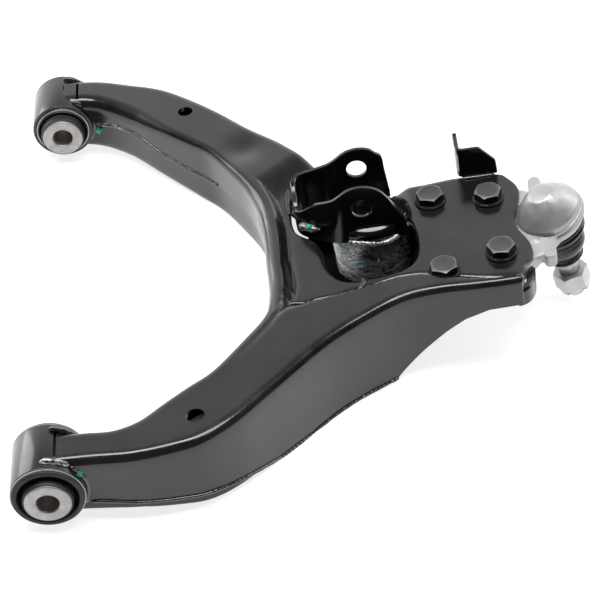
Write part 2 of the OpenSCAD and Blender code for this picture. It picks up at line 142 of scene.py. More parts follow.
def paint(name, color, low, high, peel=0.05, dust=0.03):
    """Gloss black paint with clouds, orange peel and specks of dust."""
    m = new_material(name, color, 0.2, 0.0, 0.5, 0.3, 0.07)
    n = Nodes(m)
    cloud = n.ramp(n.noise(26, 4), [(0.35, color), (0.65, tuple(c * 2.3 for c in color))])
    specks = n.spread(n.noise(1500, 1, 0.4), 0, 1, 0.74, 0.78)
    n.set("Base Color", n.mix(specks, cloud, (dust, dust, dust * 1.02)))
    n.set("Roughness", n.spread(n.noise(60, 5, 0.65), low, high))
    n.bump((n.noise(34, 3), 1.2, 0.06), (n.noise(420, 2), 0.12, peel), (n.noise(900, 2), 0.03, peel))
    return m


def surface(name, color, tint, stops, rough, low, high, bumps, metallic=0.0, specular=0.5, coat=0.0,
            coat_rough=0.2):
    """A material whose colour, roughness and bumps each follow noises: tint, rough and the first
    value of each bump are a noise's settings, then come the bump's height in mm and its strength."""
    m = new_material(name, color, (low + high) / 2, metallic, specular, coat, coat_rough)
    n = Nodes(m)
    n.set("Base Color", n.ramp(n.noise(*tint), stops))
    n.set("Roughness", n.spread(n.noise(*rough), low, high))
    n.bump(*[(n.noise(*spots), height, strength) for spots, height, strength in bumps])
    return m


def metal(name, color, low, high, metallic, grain, depth, coat=0.0, stains=0.82):
    stain = tuple(c * stains for c in color)
    return surface(name, color, (55, 5, 0.6), [(0.35, color), (0.65, stain)], (130, 4), low, high,
                   [((grain, 4, 0.6), depth, 0.4), ((grain * 3.3, 2), depth * 0.3, 0.3)],
                   metallic, 0.5, coat)


def rubber(name, color, low, high, coat, grain):
    light = tuple(c * 2.0 for c in color)
    return surface(name, color, (90, 4), [(0.35, color), (0.65, light)], (140, 4), low, high,
                   [((60, 2), 0.5, 0.12), ((1400, 3), 0.08, grain)], 0.0, 0.45, coat)


def turned_steel():
    """Steel with fine rings about the bush axis."""
    m = new_material("sleeve_steel", (0.5, 0.475, 0.465), 0.42, 0.75, 0.5)
    n = Nodes(m)
    rings = n.add("ShaderNodeTexWave", {"Vector": n.where, "Scale": 900, "Distortion": 1.5,
                                        "Detail": 3, "Detail Scale": 1.2})
    rings.wave_type = "RINGS"
    rings.rings_direction = "Y"
    n.set("Base Color", n.ramp(n.noise(160, 4), [(0.35, (0.36, 0.34, 0.335)), (0.65, (0.45, 0.43, 0.42))]))
    n.set("Roughness", n.spread(n.noise(240, 4), 0.36, 0.55))
    n.bump((rings.outputs["Fac"], 0.05, 0.25), (n.noise(900, 3), 0.04, 0.3))
    return m


arm_paint = paint("arm_paint", (0.006, 0.006, 0.0068), 0.15, 0.27)
eye_paint = paint("eye_paint", (0.005, 0.005, 0.0058), 0.18, 0.3)
bracket_paint = paint("bracket_paint", (0.003, 0.003, 0.0034), 0.12, 0.22, 0.06, 0.012)
wire_black = paint("wire_black", (0.02, 0.02, 0.021), 0.3, 0.45)
weld = surface("weld_paint", (0.02, 0.02, 0.021), (120, 3, 0.6),
               [(0.32, (0.012, 0.011, 0.011)), (0.45, (0.03, 0.02, 0.016)),
                (0.56, (0.012, 0.016, 0.02)), (0.68, (0.03, 0.035, 0.045))],
               (260, 3), 0.08, 0.3, [((230, 3), 0.7, 0.35), ((700, 3), 0.25, 0.3)], 0.0, 0.7, 0.6, 0.08)
# black paint with faint brown patches, and faint blue-green patches painted in as reflections
cup_gloss = surface("cup_paint", (0.012, 0.012, 0.014), (75, 4, 0.6, None, 1.4),
                    [(0.3, (0.012, 0.011, 0.012)), (0.44, (0.035, 0.024, 0.018)),
                     (0.52, (0.012, 0.012, 0.014)), (0.62, (0.022, 0.034, 0.045)),
                     (0.72, (0.05, 0.05, 0.06))], (180, 3), 0.06, 0.24,
                    [((70, 3, 0.55, None, 1.2), 2.2, 0.35), ((240, 3, 0.6, None, 0.8), 0.5, 0.3)],
                    0.35, 0.8, 0.9, 0.05)
# burnt and oily paint over the weld round the cup, with white and blue-green patches painted in as
# reflections
swirl = (48, 4, 0.6, (1, 1, 1.9), 4.2)
swirl_and_painted_sheen = surface("swirl_paint_and_painted_sheen", (0.1, 0.1, 0.1), swirl,
                    [(0.3, (0.03, 0.026, 0.026)), (0.39, (0.24, 0.2, 0.17)),
                     (0.44, (0.03, 0.028, 0.03)), (0.5, (0.85, 0.84, 0.86)), (0.55, (0.1, 0.1, 0.11)),
                     (0.62, (0.4, 0.7, 0.78)), (0.7, (0.95, 0.97, 1.0))], (180, 3), 0.1, 0.3,
                    [(swirl, 1.4, 0.5), ((520, 3), 0.2, 0.3)], 0.55, 0.8, 0.8, 0.05)
# weld beads in black paint, with grey and silver-white patches painted in as glints
weld_and_painted_glints = surface("weld_painted_glints", (0.3, 0.29, 0.29), (260, 3, 0.6),
                      [(0.36, (0.02, 0.019, 0.019)), (0.5, (0.2, 0.18, 0.17)),
                       (0.62, (0.62, 0.62, 0.64))], (300, 3), 0.12, 0.34,
                      [((340, 3), 0.6, 0.45), ((900, 3), 0.2, 0.3)], 0.6, 0.7, 0.5, 0.08)
bush_rubber = rubber("bush_rubber", (0.012, 0.012, 0.013), 0.42, 0.62, 0.0, 0.4)
boot_rubber = rubber("boot_rubber", (0.008, 0.008, 0.009), 0.2, 0.32, 0.3, 0.15)
sleeve_steel = turned_steel()
bush_can = metal("bush_can", (0.42, 0.42, 0.43), 0.3, 0.45, 0.9, 700, 0.05)
cast_silver = metal("cast_silver", (0.5, 0.505, 0.51), 0.4, 0.55, 0.45, 520, 0.22)
cover_steel = metal("cover_steel", (0.5, 0.505, 0.51), 0.34, 0.5, 0.6, 420, 0.3)
spring_steel = metal("spring_steel", (0.4, 0.41, 0.43), 0.3, 0.45, 0.9, 600, 0.04)
stud_steel = metal("stud_steel", (0.5, 0.47, 0.46), 0.28, 0.4, 0.85, 800, 0.05)
nut_zinc = metal("nut_zinc", (0.6, 0.6, 0.6), 0.28, 0.42, 0.6, 420, 0.08)
# near-black with little sheen: painted shade on the bolts' hex sides and flanges and in the eye slits; the
# washers use it too
black_and_painted_shade = metal("black_and_painted_shade", (0.004, 0.004, 0.004), 0.34, 0.5, 0.0, 500, 0.1)
black_and_painted_shade.node_tree.nodes["Principled BSDF"].inputs["Specular IOR Level"].default_value = 0.22
bolt_top = metal("bolt_top", (0.075, 0.07, 0.068), 0.4, 0.56, 0.35, 420, 0.12, 0.0, 0.7)
# lighter grey, a painted highlight on the bolts' chamfers
bolt_painted_highlight = metal("bolt_painted_highlight", (0.15, 0.145, 0.14), 0.36, 0.5, 0.5, 600, 0.06)
bearing_plastic = metal("bearing_plastic", (0.72, 0.7, 0.62), 0.4, 0.5, 0.0, 300, 0.05)
teal_dab = metal("teal_dab", (0.03, 0.42, 0.34), 0.3, 0.45, 0.0, 300, 0.15, 0.2, 0.6)
drip_brown = metal("drip_brown", (0.09, 0.045, 0.03), 0.16, 0.3, 0.0, 260, 0.3, 0.6, 0.5)

# ---------------------------------------------------------------- mesh helpers


def shade(mesh, sharp):
    mesh.shade_smooth()
    mesh.set_sharp_from_angle(angle=math.radians(sharp))


def link(name, vertices, faces, materials, body, slot, nodes=(), sharp=38, tags=None, clean=True):
    """Makes a piece from millimetre vertices, which rides on a body and may stand for CAD nodes."""
    mesh = bpy.data.meshes.new(name)
    mesh.from_pydata([tuple(v) for v in np.asarray(vertices, float) * MM], [], faces)
    for m in (materials if isinstance(materials, (list, tuple)) else [materials]):
        mesh.materials.append(m)
    if tags is not None:
        mesh.polygons.foreach_set("material_index", np.asarray(tags, np.int32))
    if clean:
        bm = bmesh.new()
        bm.from_mesh(mesh)
        bmesh.ops.remove_doubles(bm, verts=bm.verts, dist=2e-6)
        bmesh.ops.recalc_face_normals(bm, faces=bm.faces)
        bm.to_mesh(mesh)
        bm.free()
    shade(mesh, sharp)
    obj = bpy.data.objects.new(name, mesh)
    scene.collection.objects.link(obj)
    if body:
        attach(obj, body)
    if nodes:
        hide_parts(*nodes)
    return obj


def curve(points, steps):
    """Catmull-Rom curve through the points."""
    p = np.asarray(points, float)
    last = len(p) - 1
    out = []
    for i in range(last):
        a, b, c, d = p[max(i - 1, 0)], p[i], p[i + 1], p[min(i + 2, last)]
        for s in range(steps):
            t = s / steps
            out.append(0.5 * (2 * b + (c - a) * t + (2 * a - 5 * b + 4 * c - d) * t * t
                              + (3 * b - a - 3 * c + d) * t ** 3))
    out.append(p[last])
    return np.array(out)


def resample(path, gap, closed=False):
    p = np.asarray(path, float)
    if closed:
        p = np.vstack([p, p[:1]])
    length = np.concatenate([[0], np.cumsum(np.linalg.norm(np.diff(p, axis=0), axis=1))])
    count = max(int(round(length[-1] / gap)), 2)
    at = np.linspace(0, length[-1], count + 1)
    if closed:
        at = at[:-1]
    return np.stack([np.interp(at, length, p[:, k]) for k in range(p.shape[1])], 1)


def inward(loop):
    """Unit normals of a closed loop, to its left."""
    d = np.roll(loop, -1, 0) - np.roll(loop, 1, 0)
    d /= np.linalg.norm(d, axis=1)[:, None]
    return np.stack([-d[:, 1], d[:, 0]], 1)


def inside(points, loop):
    """Which points lie inside a closed loop."""
    x, y = points[:, 0], points[:, 1]
    found = np.zeros(len(points), bool)
    for a, b in zip(loop, np.roll(loop, -1, 0)):
        if a[1] == b[1]:
            continue
        cross = (a[1] > y) != (b[1] > y)
        found ^= cross & (x < (b[0] - a[0]) * (y - a[1]) / (b[1] - a[1]) + a[0])
    return found


def distance(points, path, closed=False):
    """Distance from each point to a path."""
    p = np.vstack([path, path[:1]]) if closed else path
    best = np.full(len(points), 1e9)
    for a, b in zip(p[:-1], p[1:]):
        d = b - a
        t = np.clip(((points - a) @ d) / max(d @ d, 1e-9), 0, 1)
        best = np.minimum(best, np.linalg.norm(points - (a + t[:, None] * d), axis=1))
    return best


def step(v, a, b):
    t = np.clip((v - a) / (b - a), 0, 1)
    return t * t * (3 - 2 * t)


def profile(points):
    p = np.asarray(points, float)
    return lambda x: np.interp(x, p[:, 0], p[:, 1])


def apply_modifiers(obj):
    bpy.context.view_layer.update()
    graph = bpy.context.evaluated_depsgraph_get()
    mesh = bpy.data.meshes.new_from_object(obj.evaluated_get(graph))
    obj.modifiers.clear()
    obj.data = mesh
    return obj


def fill(outline, holes, gap, margin):
    """Triangles inside the outline and outside the holes, over a regular grid of points.
    Returns the points, those of the outline and then of the holes first, and the faces."""
    rims = [outline] + list(holes)
    points, edges = [], []
    for rim in rims:
        start = len(points)
        points += [tuple(p) for p in rim]
        edges += [(start + i, start + (i + 1) % len(rim)) for i in range(len(rim))]
    low, high = outline.min(0), outline.max(0)
    gx, gy = np.meshgrid(*[np.arange(low[k] + gap / 2, high[k], gap) for k in (0, 1)])
    grid = np.stack([gx.ravel(), gy.ravel()], 1)

    def between(spots):
        keep = inside(spots, outline)
        for hole in holes:
            keep &= ~inside(spots, hole)
        return keep

    grid = grid[between(grid)]
    for rim in rims:
        grid = grid[distance(grid, rim, True) > margin]
    points += [tuple(p) for p in grid]
    verts, _, faces, origin, _, _ = delaunay_2d_cdt([Vector(p) for p in points], edges, [], 0, 1e-7)
    v = np.array([tuple(p) for p in verts])
    keep = between(np.array([v[list(f)].mean(0) for f in faces]))
    number = []
    for i, o in enumerate(origin):
        number.append(o[0] if o else len(points))
        if not o:
            points.append(tuple(v[i]))
    return np.array(points), [tuple(number[i] for i in f) for f, k in zip(faces, keep) if k]


def weave(rows, n, ring=False, wrap=True):
    """Quads over points held row by row, n to a row. ring joins the last row to the first, wrap
    joins the ends of each row."""
    faces = []
    for k in range(rows if ring else rows - 1):
        here, there = k * n, (k + 1) % rows * n
        for i in range(n if wrap else n - 1):
            j = (i + 1) % n
            faces.append((here + i, there + i, there + j, here + j))
    return faces


def skin(outline, radius, height, wall_end, holes, gap, bend, rows):
    """One side of a pressed sheet: a top over the outline, a rounded edge and walls down to
    wall_end. The first points are the wall's lower rim, the last return value the holes' rims."""
    n = len(outline)
    normal = inward(outline)
    verts = []
    top = height(outline + normal * radius[:, None])
    for r in range(rows):
        z = wall_end + (top - radius - wall_end) * (r / rows)
        verts.append(np.column_stack([outline, z]))
    for k in range(bend + 1):
        a = math.pi / 2 * k / bend
        spot = outline + normal * (radius * (1 - math.cos(a)))[:, None]
        level = height(spot) if k == bend else top
        verts.append(np.column_stack([spot, level - radius * (1 - math.sin(a))]))
    count = rows + bend + 1
    faces = weave(count, n)
    rim = verts[-1][:, :2]
    points, tris = fill(rim, holes, gap, gap * 0.6)
    base = (count - 1) * n
    rest = points[n:]
    verts = np.vstack(verts + [np.column_stack([rest, height(rest)])])
    shift = [base + i if i < n else count * n + i - n for i in range(len(points))]
    faces += [tuple(shift[i] for i in f) for f in tris]
    rims, at = [], n
    for hole in holes:
        rims.append([shift[i] for i in range(at, at + len(hole))])
        at += len(hole)
    return verts, faces, rims


def pressing(outline, radius, height, wall_end, holes, gap, thick, sign=1, bend=6, rows=7):
    """A pressed sheet of even thickness. height(points) gives the level of its top, sign -1
    turns it over; radius and wall_end are given for each point of the outline."""
    n = len(outline)
    radius = np.asarray(radius, float)
    a, fa, ra = skin(outline, radius, height, wall_end, holes, gap, bend, rows)
    b, fb, rb = skin(outline + inward(outline) * thick, np.maximum(radius - thick, 0.3),
                     lambda p: height(p) - thick, wall_end, holes, gap * 1.3, bend, rows)
    shift = len(a)
    faces = fa + [tuple(i + shift for i in reversed(f)) for f in fb]
    faces += [((i + 1) % n, i, i + shift, (i + 1) % n + shift) for i in range(n)]
    for outer, inner in zip(ra, rb):
        m = len(outer)
        faces += [(outer[i], outer[(i + 1) % m], inner[(i + 1) % m] + shift, inner[i] + shift)
                  for i in range(m)]
    verts = np.vstack([a, b])
    verts[:, 2] *= sign
    return verts, faces


def circle(x, y, r, n=40):
    a = np.arange(n) * 2 * math.pi / n
    return np.stack([x + r * np.cos(a), y + r * np.sin(a)], 1)


def placed(verts, matrix):
    """Vertices moved by a matrix, if there is one."""
    if matrix is None:
        return verts
    a = np.array(matrix)
    return verts @ a[:3, :3].T + a[:3, 3]


def lathe(points, matrix=None, n=96, closed=True):
    """Turns a profile of (radius, height) about Z. Returns the vertices and faces."""
    p = np.asarray(points, float)
    verts = np.vstack([np.column_stack([p[:, 0] * math.cos(a), p[:, 0] * math.sin(a), p[:, 1]])
                       for a in np.arange(n) * 2 * math.pi / n])
    return placed(verts, matrix), weave(n, len(p), True, closed)


def soften(points, radius, steps=4, closed=True):
    """Rounds the corners of a profile; radius may be one number or one for each point."""
    p = [np.asarray(q, float) for q in points]
    r = radius if isinstance(radius, (list, tuple)) else [radius] * len(p)
    out = []
    for i, q in enumerate(p):
        if r[i] <= 0 or (not closed and i in (0, len(p) - 1)):
            out.append(q)
            continue
        a, b = p[i - 1] - q, p[(i + 1) % len(p)] - q
        la, lb = np.linalg.norm(a), np.linalg.norm(b)
        d = min(r[i], la * 0.48, lb * 0.48)
        start, end = q + a / la * d, q + b / lb * d
        for s in range(steps + 1):
            t = s / steps
            out.append((1 - t) ** 2 * start + 2 * t * (1 - t) * q + t * t * end)
    return np.array(out)


def clear_poles(faces, verts):
    """Drops the zero-area sides that a lathe makes at its axis."""
    keep = []
    for f in faces:
        ring = []
        for i in f:
            if not ring or np.linalg.norm(verts[i] - verts[ring[-1]]) > 1e-6:
                ring.append(i)
        if len(ring) > 1 and np.linalg.norm(verts[ring[0]] - verts[ring[-1]]) < 1e-6:
            ring.pop()
        if len(ring) > 2:
            keep.append(tuple(ring))
    return keep


def turned(name, points, matrix, materials, body, slot, nodes=(), n=96, closed=True, sharp=38,
           round_by=0):
    if round_by:
        points = soften(points, round_by, 3, closed)
    verts, faces = lathe(points, matrix, n, closed)
    return link(name, verts, clear_poles(faces, verts), materials, body, slot, nodes, sharp)


def sheet_mesh(outline, holes, thickness, bevel, place, gap=3.0):
    """A flat sheet with bevelled edges. place(u, v, w) maps arrays to space."""
    rims = [np.asarray(outline, float)] + [np.asarray(h, float) for h in holes]
    inner = [rims[0] + inward(rims[0]) * bevel] + [h - inward(h) * bevel for h in rims[1:]]
    points, tris = fill(inner[0], inner[1:], gap, gap * 0.5)
    count = len(points)
    u, v = points[:, 0], points[:, 1]
    verts = [place(u, v, np.zeros(count)), place(u, v, np.full(count, thickness))]
    faces = [tuple(f) for f in tris] + [tuple(i + count for i in reversed(f)) for f in tris]
    total = 2 * count
    start = 0
    for rim in rims:
        n = len(rim)
        bottom, top = [start + i for i in range(n)], [count + start + i for i in range(n)]
        low, high = [total + i for i in range(n)], [total + n + i for i in range(n)]
        verts += [place(rim[:, 0], rim[:, 1], np.full(n, bevel)),
                  place(rim[:, 0], rim[:, 1], np.full(n, thickness - bevel))]
        total += 2 * n
        for i in range(n):
            j = (i + 1) % n
            faces += [(bottom[i], bottom[j], low[j], low[i]), (low[i], low[j], high[j], high[i]),
                      (high[i], high[j], top[j], top[i])]
        start += n
    return np.vstack(verts), faces


def tube(path, radius, squash, lift=(0, 0, 1)):
    """A closed tube along a path. radius is one for each point; lift is the flattened direction."""
    sides = 12
    p = np.asarray(path, float)
    n = len(p)
    tangent = np.gradient(p, axis=0)
    tangent /= np.linalg.norm(tangent, axis=1)[:, None]
    verts = []
    for i in range(n):
        a = np.cross(tangent[i], lift)
        a /= np.linalg.norm(a)
        b = np.cross(a, tangent[i])
        for k in range(sides):
            t = 2 * math.pi * k / sides
            verts.append(p[i] + radius[i] * (math.cos(t) * a + squash * math.sin(t) * b))
    faces = weave(n, sides)
    faces += [tuple(reversed(range(sides))), tuple((n - 1) * sides + k for k in range(sides))]
    return np.array(verts), faces


def bead(name, path, radius, seed, material=weld, pitch=2.2, squash=0.8, lift=(0, 0, 1),
         slot="bracket_paint"):
    """A weld bead with its ripples, pitch mm apart."""
    rng = random.Random(seed)
    p = resample(path, 0.45)
    s = np.arange(len(p)) * 0.45
    wobble = np.interp(s, np.arange(0, s[-1] + 4, 4), [rng.uniform(-0.14, 0.14)
                                                      for _ in np.arange(0, s[-1] + 4, 4)])
    ripple = 0.1 * np.abs(np.sin(math.pi * s / pitch)) + wobble
    ends = np.clip(np.minimum(s, s[-1] - s) / (radius * 1.2), 0.05, 1) ** 0.5
    verts, faces = tube(p, radius * (0.95 + ripple) * ends, squash, lift)
    link(name, verts, faces, material, "arm", slot, (), 60)


def dab(name, centre, normal, size, seed, height):
    """A small uneven drop lying on a surface."""
    rng = random.Random(seed)
    w = Vector(normal).normalized()
    u = w.orthogonal().normalized()
    v = w.cross(u)
    n, rings = 20, 5
    wave = [rng.uniform(0.75, 1.15) for _ in range(n)]
    wave = [(wave[i - 1] + 2 * wave[i] + wave[(i + 1) % n]) / 4 for i in range(n)]
    c = Vector(centre)
    verts = [tuple(c + w * height)]
    for r in range(1, rings + 1):
        t = r / rings
        for i in range(n):
            a = 2 * math.pi * i / n
            d = t * size * wave[i]
            verts.append(tuple(c + u * math.cos(a) * d + v * math.sin(a) * d * 0.75
                               + w * (height * (1 - t ** 3) - (0.6 if r == rings else 0))))
    faces = [(0, 1 + i, 1 + (i + 1) % n) for i in range(n)]
    faces += [tuple(1 + q for q in f) for f in weave(rings, n)]
    faces.append(tuple(1 + (rings - 1) * n + i for i in reversed(range(n))))
    link(name, verts, faces, teal_dab, "arm", "arm_paint", (), 60)


# ---------------------------------------------------------------- the two pressed shells
rear_outer = [[-4, -14.5], [30, -16], [56, -17.5], [80, -14.5], [100, -9], [122, 6], [145, 29],
              [183, 67], [214, 89], [238, 101.5], [262, 105], [290, 104.5], [317, 104.5]]
end_edge = [[317.6, 112], [317.8, 119], [319.5, 124], [323, 127.4], [326, 131], [326, 146],
            [319.5, 164], [319, 176], [325, 195], [325, 210], [315, 227]]
front_outer = [[281, 230.5], [258, 228], [236, 228.5], [218, 234], [203, 245], [189, 262],
               [165, 292], [141, 316], [122, 338], [100, 360], [79, 377], [55, 388], [30, 398],
               [-4, 403.5]]
crotch = [[-4, 373], [20, 370.5], [36, 361.5], [52, 348], [68, 332], [94, 307], [112, 289],
          [128, 262], [138, 241], [144.5, 218], [147, 190], [147.5, 160], [148, 128], [143, 103],
          [130, 83], [109, 56], [91, 42], [75, 29], [60, 16.5], [44, 11], [28, 12], [-4, 14.5]]
recess = [[160, 112.5], [170, 108.5], [178, 110.4], [193, 113.2], [212, 117.6], [226, 121], [239, 123.4],
          [253, 123], [273, 116.2], [296, 110.6], [311, 110.6], [345, 110]]
pocket = [[237.5, 226.5], [239, 214], [243.5, 202], [248, 190], [250.8, 177], [251.5, 165],
          [250, 150], [244, 140], [231, 134], [204, 132], [194, 138], [188, 150],
          [186, 168], [182, 180], [174, 187], [169, 194], [167, 211], [167, 229.5]]
plate_z = 12
sheet = 3.2
top_level = profile([[-10, 22.2], [30, 22], [60, 21.5], [110, 20.3], [165, 18.8], [235, 17.8],
                     [280, 16.4], [345, 16]])
skirt = profile([[-10, -11], [30, -13.5], [45, -16], [65, -19.5], [84, -23], [104, -26.5],
                 [124, -32], [144, -40], [165, -44], [200, -46],
                 [226, -48], [262, -21], [276, -12], [292, -6.5], [345, -5]])
inner_seam = profile([[-10, 3], [55, -1], [90, -9], [120, -15], [150, -20], [200, -24]])
front_seam = profile([[-10, 1], [30, 3], [42, 5], [54, 6], [63, 3], [72, -1.5], [84, -4.5], [96, -7],
                      [118, -9.5], [136, -11], [145, -16], [150, -20], [200, -24]])
belly = profile([[-10, -22], [14, -24.5], [30, -26], [55, -28], [90, -36], [120, -43], [150, -48],
                 [226, -48], [243, -34], [247, -28], [250, -6.5], [252, -5.6], [345, -5.6]])

front_line = curve(front_outer, 12)
part_a = front_line[front_line[:, 0] > 238.5]
part_b = front_line[front_line[:, 0] < 209]
parts = [("rear", curve(rear_outer, 12)), ("end", curve(end_edge, 8)), ("front", part_a),
         ("pocket", np.vstack([curve(pocket, 8), [[206, 229.5]]])),
         ("front", part_b), ("crotch", curve(crotch, 12))]


def blur(values, times):
    """Evens out values that run round a loop."""
    for _ in range(times):
        values = 0.5 * values + 0.25 * (np.roll(values, 1, 0) + np.roll(values, -1, 0))
    return values


def outline_of(stretches, gap):
    """One closed loop from named stretches, and the name of the stretch at each point."""
    paths = [resample(path, gap) for _, path in stretches]
    names = [name for (name, _), path in zip(stretches, paths) for _ in path]
    return blur(np.vstack(paths), 2), np.array(names)


loop, kinds = outline_of(parts, 2.0)

crotch_line = curve(crotch, 10)
recess_line = curve(recess, 10)


def crotch_radius(p):
    """Radius of the rounded edge along the crotch, large beside the plate and by the front eye."""
    x, y = p[:, 0], p[:, 1]
    on_front = y > 200
    front = np.interp(x, [0, 55, 80, 120, 136, 146], [9, 10, 5.5, 4.5, 5.5, 8.5])
    rear = np.interp(x, [0, 120, 141, 146], [5, 5, 6, 8.5])
    return np.where(on_front, front, np.where(x > 145, 9.0, rear))


edge_radius = np.select([kinds == "rear", kinds == "end", kinds == "pocket", kinds == "crotch"],
                        [np.interp(loop[:, 0], [0, 60, 250, 320], [7, 7, 6, 5]), 0.9, 2.2,
                         crotch_radius(loop)], 6.0)
narrow = (kinds == "pocket") & (loop[:, 1] > 222)
edge_radius[narrow] = 1.0
edge_radius[(kinds == "front") & (np.abs(loop[:, 0] - 215) < 12)] = 2.0
edge_radius = blur(edge_radius, 3)
wall_low = np.select([kinds == "rear", kinds == "end", kinds == "pocket", kinds == "crotch"],
                     [skirt(loop[:, 0]), plate_z - sheet, plate_z - 10.0, inner_seam(loop[:, 0])],
                     skirt(loop[:, 0]))
wall_low = np.where((kinds == "crotch") & (loop[:, 1] > 200), front_seam(loop[:, 0]), wall_low)


def signed_side(points, line):
    """Distance from a line that runs with x, positive above it."""
    y = np.interp(points[:, 0], line[:, 0], line[:, 1])
    return points[:, 1] - y


def upper_level(p):
    """Level of the upper shell's top."""
    x, y = p[:, 0], p[:, 1]
    leg = top_level(x)
    rear_gap = signed_side(p, recess_line)
    wide = 1 - step(x, 150, 174)
    on_rear = 1 - step((rear_gap + 1 + 15 * wide) / (5.5 + 26 * wide), 0.0, 1.0)
    from_crotch = distance(p, crotch_line)
    lip = 1 - step(from_crotch, 9.5, 16.5)
    # soft slope from the front leg down to the plate
    along = (x - 150) * 0.62 + (y - 236) * -0.78
    on_front = 1 - step(along, -16, 12)
    on_front *= step(y, 196, 232)
    over = np.maximum.reduce([on_rear, lip, on_front])
    over = np.where(x < 150, np.maximum(over, step(-(x - 150), 0, 16) * (y > 230)), over)
    z = plate_z + (leg - plate_z) * over
    # groove between the rear leg and the plate, deepest at its inboard end
    deep = np.interp(x, [159, 164, 176, 190, 215, 232, 245, 262, 275, 296, 318],
                     [0, 6.4, 6.0, 2.4, 1.8, 3.4, 2.2, 1.4, 2.6, 1.8, 0])
    z = z - deep * np.exp(-((rear_gap - 3.8) / 2.3) ** 2)
    # crease behind the lip
    crease = np.interp(y, [60, 88, 108, 122, 150, 175, 215, 235],
                       [0, 0.5, 1.3, 2.0, 1.7, 0.9, 0.4, 0])
    away = np.interp(y, [60, 100, 118, 136, 160, 215], [7.5, 9, 13, 16, 16.5, 17])
    z = z - crease * np.exp(-((from_crotch - away) / np.interp(y, [100, 130], [2.0, 2.8])) ** 2) \
        * (x < 180)
    # shallow dent where the front leg meets the plate
    z = z - 2.2 * np.exp(-(((x - 137) / 12) ** 2 + ((y - 286) / 14) ** 2))
    # the plate rolls down beside the cup
    z = z - 8.5 * step(253 - x, 0, 17) * step(y, 166, 192) * (x > 228)
    return z


leg_holes = [circle(97, 13, 6, 32), circle(96.5, 341, 5.5, 32)]
verts, faces = pressing(loop, edge_radius, upper_level, wall_low, leg_holes, 1.3, sheet)
upper_shell = link("upper_shell_skin", verts, faces, arm_paint, None, "arm_paint")


def block(centre, size):
    """Corners and faces of a box."""
    x, y, z = (np.array(size) / 2)
    v = np.array([(centre[0] + a * x, centre[1] + b * y, centre[2] + c * z)
                  for a in (-1, 1) for b in (-1, 1) for c in (-1, 1)])
    return v, [(0, 1, 3, 2), (4, 6, 7, 5), (0, 4, 5, 1), (2, 3, 7, 6), (0, 2, 6, 4), (1, 5, 7, 3)]


def carve(obj, solids, solver="MANIFOLD", sharp=38):
    """Cuts solids, given as vertices and faces, out of a piece."""
    for v, f in solids:
        cutter = link("cutter", v, clear_poles(f, v), cover_steel, None, None)
        cut = obj.modifiers.new("cut", "BOOLEAN")
        cut.solver = solver
        cut.use_hole_tolerant = True
        cut.object = cutter
        apply_modifiers(obj)
        bpy.data.objects.remove(cutter)
    shade(obj.data, sharp)
    return obj


def rod(r, low, high, matrix, n=48):
    """A plain cylinder for cutting."""
    return lathe([[0, low], [r, low], [r, high], [0, high]], matrix, n, False)


def bush_frame(y):
    """Turns a lathe's axis onto the bush axis."""
    return Matrix.Translation((0, y, 0)) @ Matrix.Rotation(math.radians(-90), 4, "X")


rear_y, front_y = 0, 388
rear_d, front_d = 48, 45
eye_room = [rod(d / 2, -60, 60, bush_frame(y), 160) for y, d in ((rear_y, rear_d), (front_y, front_d))]
slit_places = {"rear": ((8.2, 2.4, 25.6), (1.9, 21, 10)), "front": ((14.8, 386, 21), (1.9, 19, 10))}
carve(upper_shell, eye_room + [block(*place) for place in slit_places.values()], "EXACT", 32)
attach(upper_shell, "arm")
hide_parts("upper_shell")

# lower shell, lapped inside the upper one
lower_parts = [("rear", curve(rear_outer, 12)), ("end", curve(end_edge, 8)),
               ("front", curve(front_outer, 12)), ("crotch", curve(crotch, 12))]
low_loop, low_kinds = outline_of(lower_parts, 2.6)
low_loop = low_loop + inward(low_loop) * (sheet + 0.1)
low_x = low_loop[:, 0]
under_radius = np.where(low_x < 246, 8.0, np.where(low_kinds == "end", 2.0, 1.0))
under_radius = np.where((low_kinds == "rear") & (low_x < 246), 3.4, under_radius)
low_wall_top = np.where(low_x > 249, -2.8,
                        np.where(low_kinds == "crotch", inner_seam(low_x) + 7, skirt(low_x) + 6))
gap_zone = (low_kinds == "crotch") & (low_x > 112) & (low_x < 131) & (low_loop[:, 1] > 200)
low_wall_top = np.where((low_kinds == "crotch") & (low_loop[:, 1] > 200), front_seam(low_x) + 5,
                        low_wall_top)
low_wall_top = np.where(gap_zone, front_seam(low_x) - 3, low_wall_top)
under_radius = blur(under_radius, 2)
verts, faces = pressing(low_loop, under_radius, lambda p: -belly(p[:, 0]), -low_wall_top, [], 3.0,
                        sheet, -1, 6, 6)
lower_shell = link("lower_shell_skin", verts, faces, arm_paint, None, "arm_paint")
carve(lower_shell, eye_room, "EXACT", 32)
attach(lower_shell, "arm")
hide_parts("lower_shell")


